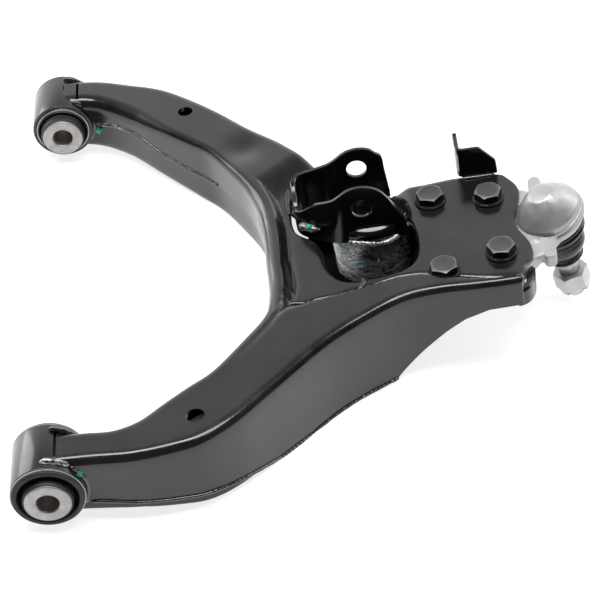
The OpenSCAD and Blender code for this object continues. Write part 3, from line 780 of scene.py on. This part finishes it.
# ---------------------------------------------------------------- eyes and bushes
def bush(tag, y, eye_d, sleeve_l, flange_r, lip, ring_w):
    at = bush_frame(y)
    half, eye_r = 20, eye_d / 2
    can_r = eye_r - 2.5
    eye = turned(tag + "_eye_tube", [[eye_r, -half], [eye_r, half], [can_r, half], [can_r, -half]], at,
                 eye_paint, None, "eye_paint", (), 160, round_by=0.9)
    carve(eye, [block(*slit_places[tag])])
    # the slit's faces in the tube get the near-black material, painted shade that makes the shallow gap read
    # dark
    eye.data.materials.append(black_and_painted_shade)
    (slit_x, slit_y, _), (slit_w, _, _) = slit_places[tag]
    for face in eye.data.polygons:
        p = face.center / MM
        if p.z > 0 and abs(p.x - slit_x) < slit_w / 2 + 0.1 and p.xz.length < eye_r - 0.4 \
                and p.xz.length > can_r + 0.1 and abs(p.y - slit_y) < 12:
            face.material_index = len(eye.data.materials) - 1
    shade(eye.data, 38)
    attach(eye, "arm")
    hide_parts(tag + "_eye")
    turned(tag + "_can_tube", [[can_r - 0.06, -half], [can_r - 0.06, half], [can_r - 1.5, half],
                               [can_r - 1.5, -half]], at, bush_can, "arm", "bush_can",
           [tag + "_bush_can"], 128, round_by=0.4)
    outer, inner = can_r - 1.55, 15.08
    mid = (outer + inner) / 2
    end = sleeve_l / 2
    side = [[inner, end - 0.8], [inner + 0.7, end - 1.0], [inner + 1.1, end - 2.2],
            [inner + 1.6, half - 3], [mid, half - 6.2], [outer - 2.2, half - 3.5],
            [outer - 0.8, half + 0.2], [outer - 0.5, half + lip - 0.6], [outer + 0.3, half + lip],
            [flange_r - 0.9, half + lip], [flange_r, half + lip - 0.9], [flange_r, half + 0.4],
            [flange_r - 0.4, half + 0.06], [outer, half + 0.06]]
    other = [[r, -z] for r, z in reversed(side)]
    turned(tag + "_rubber", side + other, at, bush_rubber, "arm", "bush_rubber",
           [tag + "_bush_rubber"], 160, round_by=0.5, sharp=50)
    for s in (-1, 1):
        rim = flange_r + ring_w
        lip_ring = [[flange_r + 0.04, s * (half + 0.08)], [rim - 0.05, s * (half + 0.08)],
                    [rim, s * (half + 0.7)], [flange_r + 0.04, s * (half + 0.9)]]
        turned(tag + ("_lip_near" if s < 0 else "_lip_far"), lip_ring[::-s], at, bush_can, "arm",
               "bush_can", (), 128, round_by=0.15)
    turned(tag + "_sleeve", [[15, end - 0.7], [14.3, end], [8.0, end], [7.25, end - 0.75],
                             [7.25, 0.75 - end], [8.0, -end], [14.3, -end], [15, 0.7 - end]], at,
           sleeve_steel, tag + "_sleeve", "sleeve_steel", [tag + "_inner_sleeve"], 160,
           round_by=0.25, sharp=30)


bush("rear", rear_y, rear_d, 54, 23.2, 3, 0.7)
bush("front", front_y, front_d, 60, 19.0, 2.5, 0.9)

# ---------------------------------------------------------------- shock absorber clevis and cup
def path_frame(path):
    """Length along a plan path, and a function that gives places and left normals on it."""
    p = np.asarray(path, float)
    s = np.concatenate([[0], np.cumsum(np.linalg.norm(np.diff(p, axis=0), axis=1))])
    d = np.gradient(p, s, axis=0)
    d /= np.linalg.norm(d, axis=1)[:, None]

    def at(u):
        x, y = np.interp(u, s, p[:, 0]), np.interp(u, s, p[:, 1])
        dx, dy = np.interp(u, s, d[:, 0]), np.interp(u, s, d[:, 1])
        k = np.hypot(dx, dy)
        return x, y, -dy / k, dx / k

    def along(x, y):
        return s[np.argmin(np.hypot(p[:, 0] - x, p[:, 1] - y))]
    return s[-1], at, along


def bent_sheet(name, path, outline, holes, thickness, material, nodes, slot, bevel=0.5, gap=2.2,
               corner=2.0):
    """A bent upright sheet: path in plan, outline and holes in (length along the path, height)."""
    at = path_frame(path)[1]
    rim = resample(soften(outline, corner, 4), 1.5, True)

    def place(u, v, w):
        x, y, nx, ny = at(u)
        t = w - thickness / 2
        return np.column_stack([x + nx * t, y + ny * t, v])
    verts, faces = sheet_mesh(rim, holes, thickness, bevel, place, gap)
    return link(name, verts, faces, material, "arm", slot, nodes, 40)


clevis_y, clevis_x, cup_x = 204.25, 216.5, 221.5
near_mid, far_mid = 181.75, 226.75
u_path = soften([[246.5, near_mid], [198, near_mid], [171.8, 197.5], [171.8, far_mid],
                 [238.5, far_mid]], 9, 8, False)
u_path = resample(u_path, 0.8)
u_length, _, u_along = path_frame(u_path)


def on_path(points, y):
    return [[u_along(x, y), z] for x, z in points]


base_z = 5
near_top = on_path([(246.3, 13), (244.6, 21), (240, 30), (235, 39), (229.5, 46.3), (222, 50.2),
                    (214, 50.6), (207, 48.6), (202, 44.6), (196.5, 41.2)], near_mid)
near_top += [[u_along(185, 189.5), 35.5], [u_along(175, 195.5), 27.5], [u_along(171.8, 202), 25]]
far_top = [[u_along(171.8, 216), 33.5], [u_along(176, far_mid), 35.2]]
far_top += on_path([(186, 37), (195.7, 39.5), (201.5, 42.4), (207, 46.5), (213, 49), (219.9, 49.7),
                    (227, 47.8), (231.5, 44), (234.9, 40.4), (236.4, 30), (237.6, 12)], far_mid)
upper_edge = curve(near_top + far_top, 4)
outline = np.vstack([[[0.2, base_z], [u_length - 0.4, base_z]], upper_edge[::-1]])
clevis_holes = [circle(u_along(clevis_x, near_mid), 33, 7, 44),
                circle(u_along(clevis_x, far_mid), 33, 7, 44)]
bent_sheet("clevis_bracket", u_path, outline, clevis_holes, 3.5, bracket_paint, ["shock_bracket"],
           "bracket_paint", 0.6, 1.8, 0.8)


def cup():
    """The round cup. Its rim stands higher outside the ears than between them."""
    n = 144
    verts = []
    for i in range(n):
        a = 2 * math.pi * i / n
        turn = (math.degrees(a) + 180) % 360 - 180
        near = float(step(turn, -139, -133) * (1 - step(turn, -5, 1)))
        far = float(step(math.sin(a), 0.86, 0.96))
        rim = 4.5 + 11.0 * max(near, far)
        p = [[25, -44], [28.5, -44], [28.5, -30], [28.5, -18], [28.5, -8], [28.5, -2],
             [28.5, rim - 6], [28.5, rim - 3.4], [28.1, rim - 1.7], [27.3, rim - 0.5],
             [26.3, rim], [25.5, rim - 0.5], [25, rim - 1.6], [25, -11], [24.2, -14],
             [22, -15.6], [19, -16], [0.4, -16], [0.4, -19.2], [21, -19.2], [25, -22]]
        verts += [(cup_x + r * math.cos(a), clevis_y + r * math.sin(a), z) for r, z in p]
    faces = weave(n, len(p), True)
    tags = []
    for face in faces:
        p = np.mean([verts[q] for q in face], axis=0) - [cup_x, clevis_y, 0]
        # faces on the outer front of the wall, toward the camera, get the swirl material with its painted
        # reflections
        front = p[1] < -9 and p[0] > -27 and -26 < p[2] < 13 and math.hypot(p[0], p[1]) > 27.5
        tags.append(1 if front else 0)
    o = link("clevis_cup", verts, faces, [cup_gloss, swirl_and_painted_sheen], "arm", "bracket_paint", (), 50, tags)
    sideways = Matrix.Rotation(math.radians(90), 4, "X")
    carve(o, [rod(2.5, 0, 20, Matrix.Translation((cup_x + 2.5, 190, -9)) @ sideways, 32)], sharp=50)


cup()


def shoulder(name, side):
    """The crescent ledge between an ear and the rim of the cup."""
    ear = abs((near_mid if side < 0 else far_mid) - clevis_y) + 1.2
    n = 72
    verts = []
    low, high = (-133, -5) if side < 0 else (54, 132)
    for i in range(n):
        a = math.radians(low + (high - low) * i / (n - 1))
        near = min(ear / abs(math.sin(a)), 27.2)
        room = 29.0 - near
        taper = min(1.0, (i + 1) / 14, (n - i) / 14) ** 0.5
        p = [[near - 0.6, 9], [29.3, 9], [29.8, 11.6], [29.7, 13.8], [29.2, 15.1],
             [near + room * 0.9, 15.8], [near + room * 0.7, 16.3], [near + room * 0.45, 16.8],
             [near + room * 0.22, 17.5], [near + room * 0.08, 18.6], [near - 0.6, 21]]
        p = [(27.6 + (r - 27.6) * taper, 9 + (z - 9) * taper) for r, z in p]
        verts += [(cup_x + r * math.cos(a), clevis_y + r * math.sin(a), z) for r, z in p]
    m = len(p)
    faces = weave(n, m)
    faces += [tuple(range(m)), tuple((n - 1) * m + k for k in reversed(range(m)))]
    return link(name, verts, faces, bracket_paint, "arm", "bracket_paint", (), 50)


shoulder("ledge_rear", -1)
shoulder("ledge_front", 1)


a = np.radians(np.linspace(-128, -18, 60))
ring = np.column_stack([cup_x + 28.3 * np.cos(a), clevis_y + 28.3 * np.sin(a),
                        5.5 + 1.2 * np.sin(np.linspace(0, 9, 60))])
# the bead round the cup carries the same painted reflections
bead("cup_bead", ring, 2.6, 5, swirl_and_painted_sheen, 4.2)
bead("web_bead", [[172, 195.3, 15.2], [176, 192.3, 16.0], [181, 189.3, 16.2], [187, 186.0, 16.0]],
     3.6, 8, weld_and_painted_glints, 3.4, 0.62)
bead("end_bead", [[166.4, 212, 11.9], [165.6, 221, 12.0], [165.8, 231, 12.2], [167, 240, 12.4]],
     1.5, 9, arm_paint, 2.4)
dab("web_dab", (179.4, 187.6, 18.2), (-0.1, -0.8, 0.8), 2.8, 4, 1.2)

# ---------------------------------------------------------------- hose bracket
hose_path = resample(soften([[314.5, 227], [287.6, 227], [287.6, 246.3]], 4, 6, False), 0.8)
hose_outline = [[0.2, 12.2], [45.2, 12.2], [45.2, 37.2], [42, 36], [12, 36], [1, 23.4]]
bent_sheet("hose_bracket_sheet", hose_path, hose_outline, [], 3, bracket_paint, ["hose_bracket"],
           "bracket_paint", 0.5, 2.4, 1.2)
bead("hose_bead", [[289, 224.8, 12.2], [296, 224.6, 12.3], [304, 224.7, 12.2], [312, 224.9, 12.1]],
     1.9, 12, weld, 2.4)

# ---------------------------------------------------------------- ball joint
ball = Vector((344.4, 177, 8.2))
at_ball = Matrix.Translation(ball)
housing_turn = Matrix.Rotation(math.radians(-19), 4, "Y") @ Matrix.Rotation(math.radians(8), 4, "X")
stud_turn = Matrix.Rotation(math.radians(-11), 4, "Y")
waist_turn = Matrix.Rotation(math.radians(-15), 4, "Y") @ Matrix.Rotation(math.radians(4), 4, "X")
at_housing, at_stud = at_ball @ housing_turn, at_ball @ stud_turn
at_waist = at_ball @ waist_turn


def prism(loop, low, high):
    n = len(loop)
    v = np.vstack([np.column_stack([loop, np.full(n, low)]), np.column_stack([loop, np.full(n, high)])])
    f = [tuple(reversed(range(n))), tuple(n + i for i in range(n))]
    f += [(i, (i + 1) % n, n + (i + 1) % n, n + i) for i in range(n)]
    return v, f


def join(meshes):
    verts, faces = [], []
    for v, f in meshes:
        shift = sum(len(x) for x in verts)
        verts.append(np.asarray(v, float))
        faces += [tuple(i + shift for i in face) for face in f]
    return np.vstack(verts), faces


def sphere(centre, r):
    a = np.linspace(-math.pi / 2, math.pi / 2, 13)
    v, f = lathe(np.column_stack([np.abs(r * np.cos(a)), r * np.sin(a)]), Matrix.Translation(centre),
                 24, False)
    return v, clear_poles(f, v)


def forging():
    """The forged housing: flange, cup, lugs and boss run together by a remesh, then bored."""
    corners = [[257, 115], [315, 119], [350, 160], [353, 177], [350, 194], [315, 217], [257, 211]]
    plan = resample(soften(corners, [9, 9, 14, 10, 14, 9, 9], 6), 2.0, True)
    body_v, body_f = lathe([[0, -8], [19.6, -8], [20.6, -7.2], [21.4, -5], [22, -2.4], [22, 3.4],
                            [0, 3.4]], at_housing, 120, False)
    bars = []
    for side in (-1, 1):
        tip = ball.y + side * 40.4
        bar = [[333.4, ball.y], [333.4, tip], [335, tip + side * 4], [341, tip + side * 4],
               [342.6, tip], [342.6, ball.y]][::-side]
        bars.append(prism(resample(soften(bar, 2.5, 4), 1.5, True), -1.6, 8.3))
    v, f = join([prism(plan, -2.4, 8.7), (body_v, clear_poles(body_f, body_v))] + bars
                + [sphere((329.5, 137, 5.4), 3.4), sphere((330.5, 151, 5.6), 4.5)])
    o = link("ball_joint_forging", v, f, cast_silver, None, "cast_silver", (), 38, None, False)
    r = o.modifiers.new("remesh", "REMESH")
    r.mode = "VOXEL"
    r.voxel_size = 0.9 * MM
    r.use_smooth_shade = True
    sm = o.modifiers.new("smooth", "SMOOTH")
    sm.factor = 0.5
    sm.iterations = 5
    apply_modifiers(o)
    holes = [rod(6.3, -60, 60, Matrix.Translation((x, y, 0))) for x, y in bolt_places]
    cuts = [rod(17.5, -5.5, 60, at_housing, 120), rod(24.4, 3.4, 40, at_housing, 96),
            lathe([[0, -9], [14.5, -9], [13.5, -5.4], [0, -5.4]], at_housing, 96, False)]
    carve(o, cuts + holes)
    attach(o, "arm")
    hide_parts("ball_joint_housing")


bolt_places = [[264.5, 205], [304.2, 199], [266, 127.3], [305.7, 139.3]]
bolt_turns = [12, 38, 3, 22]
forging()
turned("joint_cover", [[0, 23.1], [6.7, 23.1], [7.7, 22.8], [9.1, 21.9], [12.6, 18.9], [16.2, 15.2],
                       [18.9, 11.4], [20.4, 9.2], [21.5, 7.9], [22, 6.6], [22, 3.46],
                       [18.6, 3.46], [18.6, 7.4], [14.8, 13.8], [7.6, 19.6], [0, 20.2]],
       at_housing, cover_steel, "arm", "cover_steel", ["ball_joint_cover"], 144, False, 55)
turned("joint_collar", [[21, -2.6], [22.6, -2.6], [23.3, -2.1], [23.6, -1.4], [23.6, -0.2], [23.2, 0.5],
                        [22.5, 0.8], [22.5, 1.2], [23.0, 1.6], [23.1, 2.6], [22.7, 3.3],
                        [21, 3.36]],
       at_housing, cast_silver, "arm", "cast_silver", (), 144, sharp=60)

# stud and castle nut
threads = []
for i in range(12):
    v = 53 + i * 1.5
    threads += [[6.55, v], [6.95, v + 0.55], [6.55, v + 1.1]]
stud_points = [[0, 12.8], [5.6, 12.8]]
stud_points += [[14 * math.cos(a), 14 * math.sin(a)] for a in np.radians(np.linspace(65.8, -60, 22))]
stud_points += [[6.6, -13.4], [6.5, -15], [6.5, -27], [8.4, -31], [8.4, -37], [8, -42], [7.2, -52]]
stud_points += [[r, -v] for r, v in threads] + [[5.2, -71], [0, -71]]
turned("stud", stud_points, at_stud, stud_steel, "stud", "stud_steel", ["ball_stud"], 96, False, 40)


def hex_radius(angle, across):
    return across / 2 / math.cos((angle + math.pi / 6) % (math.pi / 3) - math.pi / 6)


def hex_rings(levels, matrix, closed=False):
    """A turned and hexagonal solid. levels: (height, radius or across-flats, hexagonal, drop)."""
    n = 96
    verts = []
    for z, size, six, drop in levels:
        for a in np.arange(n) * 2 * math.pi / n:
            r = hex_radius(a, size) if six else size
            fall = max(r - size / 2 - 0.1, 0) * drop if six else 0
            verts.append((r * math.cos(a), r * math.sin(a), z - fall))
    return placed(np.array(verts), matrix), weave(len(levels), n, closed)


def turned_to(x, y, z, degrees):
    return Matrix.Translation((x, y, z)) @ Matrix.Rotation(math.radians(degrees), 4, "Z")


def castle_nut():
    high, crown = 17, 5
    levels = [(0, 7.4, False, 0), (0, 10.6, False, 0), (0.0, 22, True, -0.55),
              (high - crown, 22, True, 0), (high - crown + 0.9, 21.6, True, 0.2),
              (high - 0.6, 10.3, False, 0), (high, 9.7, False, 0), (high, 7.9, False, 0),
              (high - 0.5, 7.4, False, 0)]
    at = at_stud @ Matrix.Rotation(math.pi, 4, "X") @ turned_to(0, 0, 51.5, 25)
    o = link("nut_with_slots", *hex_rings(levels, at, True), nut_zinc, None, "nut_zinc", (), 30)
    slots = []
    for i in range(3):
        v, f = prism(np.array([[-15, -1.9], [15, -1.9], [15, 1.9], [-15, 1.9]]), high - crown, 30)
        slots.append((placed(v, at @ turned_to(0, 0, 0, 60 * i + 30)), f))
    carve(o, slots)
    bevel = o.modifiers.new("edge", "BEVEL")
    bevel.width = 0.25 * MM
    bevel.segments = 2
    bevel.limit_method = "ANGLE"
    bevel.angle_limit = math.radians(40)
    apply_modifiers(o)
    shade(o.data, 38)
    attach(o, "stud")
    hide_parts("castle_nut")


castle_nut()

# ---------------------------------------------------------------- boot
def axis_of(turn):
    return np.array(turn)[:3, 2] * -1


down_housing, down_waist, down_stud = axis_of(housing_turn), axis_of(waist_turn), axis_of(stud_turn)


def loft(name, start, end, points, thick):
    """Rings between two axes through the ball: points are (share of the way, distance, radius)."""
    n = 96
    verts = []
    outer = curve(points, 4)
    rings = np.vstack([outer, outer[::-1] - [0, 0, thick]])
    for t, d, r in rings:
        axis = start * (1 - t) + end * t
        axis /= np.linalg.norm(axis)
        a = np.cross(axis, [0, 1, 0])
        a /= np.linalg.norm(a)
        b = np.cross(axis, a)
        centre = np.array(ball) + axis * d
        for i in range(n):
            w = 2 * math.pi * i / n
            verts.append(centre + r * (math.cos(w) * a + math.sin(w) * b))
    return link(name, verts, weave(len(rings), n, True), boot_rubber, None, "boot_rubber", (), 60)


upper_points = [(0, 8.1, 18.3), (0.04, 9.4, 18.6), (0.1, 10.6, 17.4), (0.25, 12.4, 17.6),
                (0.42, 14.2, 18.9), (0.6, 16.2, 18.6), (0.78, 18.2, 16.8), (0.9, 19.8, 15.8),
                (1, 21.0, 15.6)]
lower_points = [(0, 22.0, 15.6), (0.08, 23.2, 15.8), (0.25, 25.4, 16.3), (0.45, 27.8, 16.1),
                (0.65, 30.2, 15.0), (0.85, 32.6, 13.2), (1, 34.4, 12.0)]


upper_boot = loft("boot_fold_upper", down_housing, down_waist, upper_points, 1.6)
lower_boot = loft("boot_fold_lower", down_waist, down_stud, lower_points, 1.0)
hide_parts("boot_upper_fold")
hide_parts("boot_lower_fold")
ends = [tuple((np.array(ball) + axis * d) * MM) for axis, d in (
    (down_housing, 9.5), (down_waist, 20.5), (down_waist, 22.5), (down_stud, 33.5))]
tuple(ends[0])
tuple(ends[1])
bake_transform(upper_boot)
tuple(ends[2])
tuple(ends[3])
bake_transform(lower_boot)
turned("boot_waist_ring", [[14.3, -20.9], [16.1, -20.9], [15.7, -21.5], [16.1, -22.1], [14.3, -22.1]],
       at_waist, boot_rubber, "boot_middle", "boot_rubber", ["boot_waist"], 96, round_by=0.3)
turned("boot_lip_rubber", [[8.5, -35], [9.4, -34.3], [11.5, -34.3], [12.1, -35.6], [11.8, -36.6],
                           [12.1, -37.6], [11.9, -39], [11, -40], [8.7, -40], [8.5, -39]],
       at_stud, boot_rubber, "boot_end", "boot_rubber", ["boot_lip"], 96, round_by=0.3)

# ---------------------------------------------------------------- bolts, washers and nuts
def bolt_mesh(x, y, turn):
    top = 8.0
    levels = [(-27.0, 0.0, False, 0), (-27.0, 4.9, False, 0), (-26.2, 5.8, False, 0)]
    for i in range(10):
        z = -25.6 + 1.25 * i
        levels += [(z, 5.55, False, 0), (z + 0.55, 5.95, False, 0), (z + 1.1, 5.55, False, 0)]
    levels += [(-12.4, 5.95, False, 0), (0.06, 5.95, False, 0), (0.06, 10.6, False, 0),
               (0.5, 10.9, False, 0), (1.2, 10.7, False, 0), (1.9, 9.9, False, 0),
               (2.1, 17, True, 0), (top - 0.5, 17, True, 0.58), (top, 7.5, False, 0),
               (top, 6.9, False, 0), (top - 0.15, 6.4, False, 0), (top - 0.15, 0.0, False, 0)]
    v, f = hex_rings(levels, turned_to(x, y, plate_z, turn))
    return v, clear_poles(f, v)


meshes = [bolt_mesh(x, y, t) for (x, y), t in zip(bolt_places, bolt_turns)]
v, f = join(meshes)
# the hex sides and flanges get the near-black painted shade, the chamfer ring a lighter painted highlight
# and the flat tops the heads' own grey
tags = []
for face in f:
    p = v[list(face)]
    z, spread = p[:, 2].mean() - plate_z, np.ptp(p[:, 2])
    tags.append(2 if z > 7.6 and spread < 0.3 else (1 if z > 7.2 else 0))
link("bolts", v, f, [black_and_painted_shade, bolt_painted_highlight, bolt_top], "arm", "bolt_steel", ["flange_bolts"], 28, tags)

rings = [lathe(soften([[6.3, -7.66], [10, -7.66], [10, -5.66], [6.3, -5.66]], 0.3, 2),
               Matrix.Translation((x, y, 0)), 64) for x, y in bolt_places]
v, f = join(rings)
link("washers", v, f, black_and_painted_shade, "arm", "bolt_steel", ["bolt_washers"], 38)
nuts = []
for (x, y), t in zip(bolt_places, (20, 5, 33, 50)):
    levels = [(0, 6.1, False, 0), (0, 8.2, False, 0), (0.1, 17, True, -0.58),
              (8.9, 17, True, 0.58), (9, 8.2, False, 0), (9, 6.6, False, 0), (8.6, 6.1, False, 0)]
    nuts.append(hex_rings(levels, turned_to(x, y, -16.7, t), True))
v, f = join(nuts)
link("nuts", v, f, bolt_top, "arm", "bolt_steel", ["flange_nuts"], 28)

# ---------------------------------------------------------------- welds, paint dabs and drips
for name, y, r, start, end, thick, seed, material in (
        ("rear_eye_bead_top", -14.2, 24.2, 92, 46, 2.8, 21, weld_and_painted_glints),
        ("rear_eye_bead_side", -15.2, 25.0, 46, -34, 2.0, 22, weld),
        ("rear_eye_bead_front", 14.6, 24.8, 80, -40, 2.3, 23, weld),
        ("front_eye_bead_rear", 373.6, 23.4, 62, -40, 2.2, 24, weld),
        ("front_eye_bead_front", 402.6, 23.2, 80, -40, 2.3, 25, weld)):
    a = np.radians(np.linspace(start, end, 24))
    bead(name, np.column_stack([r * np.cos(a), np.full(24, y), r * np.sin(a)]), thick, seed, material,
         lift=(0, 1, 0), slot="eye_paint")
dab("rear_eye_dab", (22.6, -15.6, 12.4), (0.5, -0.8, 0.7), 3.6, 31, 1.2)
dab("front_wall_dab", (26.5, 368.2, -4.5), (-0.2, -1, 0.5), 3.2, 32, 1.0)
drip = resample([[211.6, 133.2], [211.9, 129.0], [209.8, 124.6], [206.6, 121.2]], 0.6)
drip = np.column_stack([drip, upper_level(drip) + 0.15])
drip_v, drip_f = tube(drip, 1.5 * np.sin(np.linspace(0.5, 2.9, len(drip))), 0.5)
link("paint_drip", drip_v, drip_f, drip_brown, "arm", "arm_paint", (), 60)
lip_path = resample(curve([[311, 107], [317, 109.5], [320.9, 115], [322.9, 122], [323.8, 131]], 6), 0.8)
lip_length = path_frame(lip_path)[0]
bent_sheet("end_lip", lip_path, [[0, -8.5], [lip_length, -9.5], [lip_length, 4.5], [0, 5.5]], [], 5.6,
           bracket_paint, (), "bracket_paint", 1.4, 2.4, 2.0)
bead("front_wall_bead", [[29, 368.0, 1.0], [36, 364.0, 3.4], [44, 357.4, 5], [52, 350.6, 4.6]], 2.6,
     33, weld_and_painted_glints, 2.6, slot="arm_paint")


def seam_path(points, edge, drop, out):
    """A path on a wall just under the upper shell's lower edge."""
    p = resample(points, 3.0)
    d = np.gradient(p, axis=0)
    d /= np.linalg.norm(d, axis=1)[:, None]
    wall = p + np.stack([-d[:, 1], d[:, 0]], 1) * out
    return np.column_stack([wall, edge(p[:, 0]) + drop])


def stretch(path, low, high, side):
    """The points of a path between two values of x, on one side in y."""
    return path[(path[:, 0] > low) & (path[:, 0] < high) & side(path[:, 1])]


crotch_path = curve(crotch, 12)
front_side = stretch(crotch_path, 24, 116, lambda y: y > 230)
rear_side = stretch(crotch_path, 26, 130, lambda y: y < 90)
outer_side = stretch(curve(rear_outer, 12), 24, 228, lambda y: y < 230)[::-1]
for name, path, thick, seed, pitch in (
        ("seam_bead_front", seam_path(front_side, front_seam, -0.6, 0.3), 1.5, 41, 2.2),
        ("seam_bead_outer", seam_path(outer_side, skirt, -0.3, 0.1), 1.3, 43, 3.4),
        ("seam_bead_rear", seam_path(rear_side, inner_seam, -1.4, 2.6), 1.7, 42, 2.2)):
    bead(name, path, thick, seed, pitch=pitch, slot="arm_paint")

# ---------------------------------------------------------------- carried-over nodes
carried = {"upper_bearing_seat": bearing_plastic, "lower_bearing_seat": bearing_plastic,
           "preload_spring": spring_steel, "boot_clamp_ring": wire_black,
           "boot_lip_ring": wire_black}
for name, m in carried.items():
    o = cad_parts[name]
    o.data.materials.clear()
    o.data.materials.append(m)

# ---------------------------------------------------------------- stage
# the floor slopes from just under the eyes to a few mm below the end of the stud
eye_low, stud_low, stud_x = 24, 66, 366
floor_drop = math.atan2(stud_low - eye_low, stud_x)
floor_mat = new_material("floor", (0.86, 0.86, 0.865), 0.55)
n = Nodes(floor_mat)
n.set("Base Color", n.mix(n.spread(n.noise(3, 3), 0, 1), (0.44, 0.44, 0.443), (0.46, 0.46, 0.463)))
n.set("Emission Color", (1, 1, 1, 1))
n.set("Emission Strength", 0.8)
size = 4.0
slope = math.tan(floor_drop)
level = -eye_low * MM / math.cos(floor_drop) - 0.0006
corners = [(x * size, y * size, level - x * size * slope) for x, y in ((-1, -1), (1, -1), (1, 1), (-1, 1))]
floor_mesh = bpy.data.meshes.new("floor")
floor_mesh.from_pydata(corners, [], [(0, 1, 2, 3)])
floor_mesh.materials.append(floor_mat)
floor = bpy.data.objects.new("floor", floor_mesh)
scene.collection.objects.link(floor)

scene.view_settings.view_transform = "Standard"
world = bpy.data.worlds.new("studio")
scene.world = world
world.use_nodes = True
sky = world.node_tree
back = sky.nodes["Background"]
coord = sky.nodes.new("ShaderNodeTexCoord")
split = sky.nodes.new("ShaderNodeSeparateXYZ")
sky.links.new(coord.outputs["Generated"], split.inputs["Vector"])


def sky_part(axis, start, end, low, high):
    fade = sky.nodes.new("ShaderNodeMapRange")
    fade.interpolation_type = "SMOOTHSTEP"
    for key, value in (("From Min", start), ("From Max", end), ("To Min", low), ("To Max", high)):
        fade.inputs[key].default_value = value
    sky.links.new(split.outputs[axis], fade.inputs["Value"])
    return fade.outputs["Result"]


times = sky.nodes.new("ShaderNodeMath")
times.operation = "MULTIPLY"
sky.links.new(sky_part("Y", -0.05, 0.62, 0.05, 1.3), times.inputs[0])
sky.links.new(sky_part("Z", 0.35, 0.95, 1.0, 0.25), times.inputs[1])
sky.links.new(times.outputs[0], back.inputs["Strength"])
back.inputs["Color"].default_value = (1, 1, 1, 1)


def softbox(name, place, target, width, height, power):
    data = bpy.data.lights.new(name, "AREA")
    data.shape = "RECTANGLE"
    data.size, data.size_y = width, height
    data.energy = power
    o = bpy.data.objects.new(name, data)
    o.location = place
    o.rotation_euler = (Vector(target) - Vector(place)).to_track_quat("-Z", "Y").to_euler()
    scene.collection.objects.link(o)
    return o


middle = (0.18, 0.2, 0.0)
softbox("top_box", (0.16, 0.12, 1.45), middle, 1.9, 0.4, 27)
softbox("left_box", (-1.25, 1.35, 0.75), middle, 0.7, 1.2, 9)
softbox("right_box", (1.7, 0.7, 0.9), middle, 0.8, 1.2, 9)
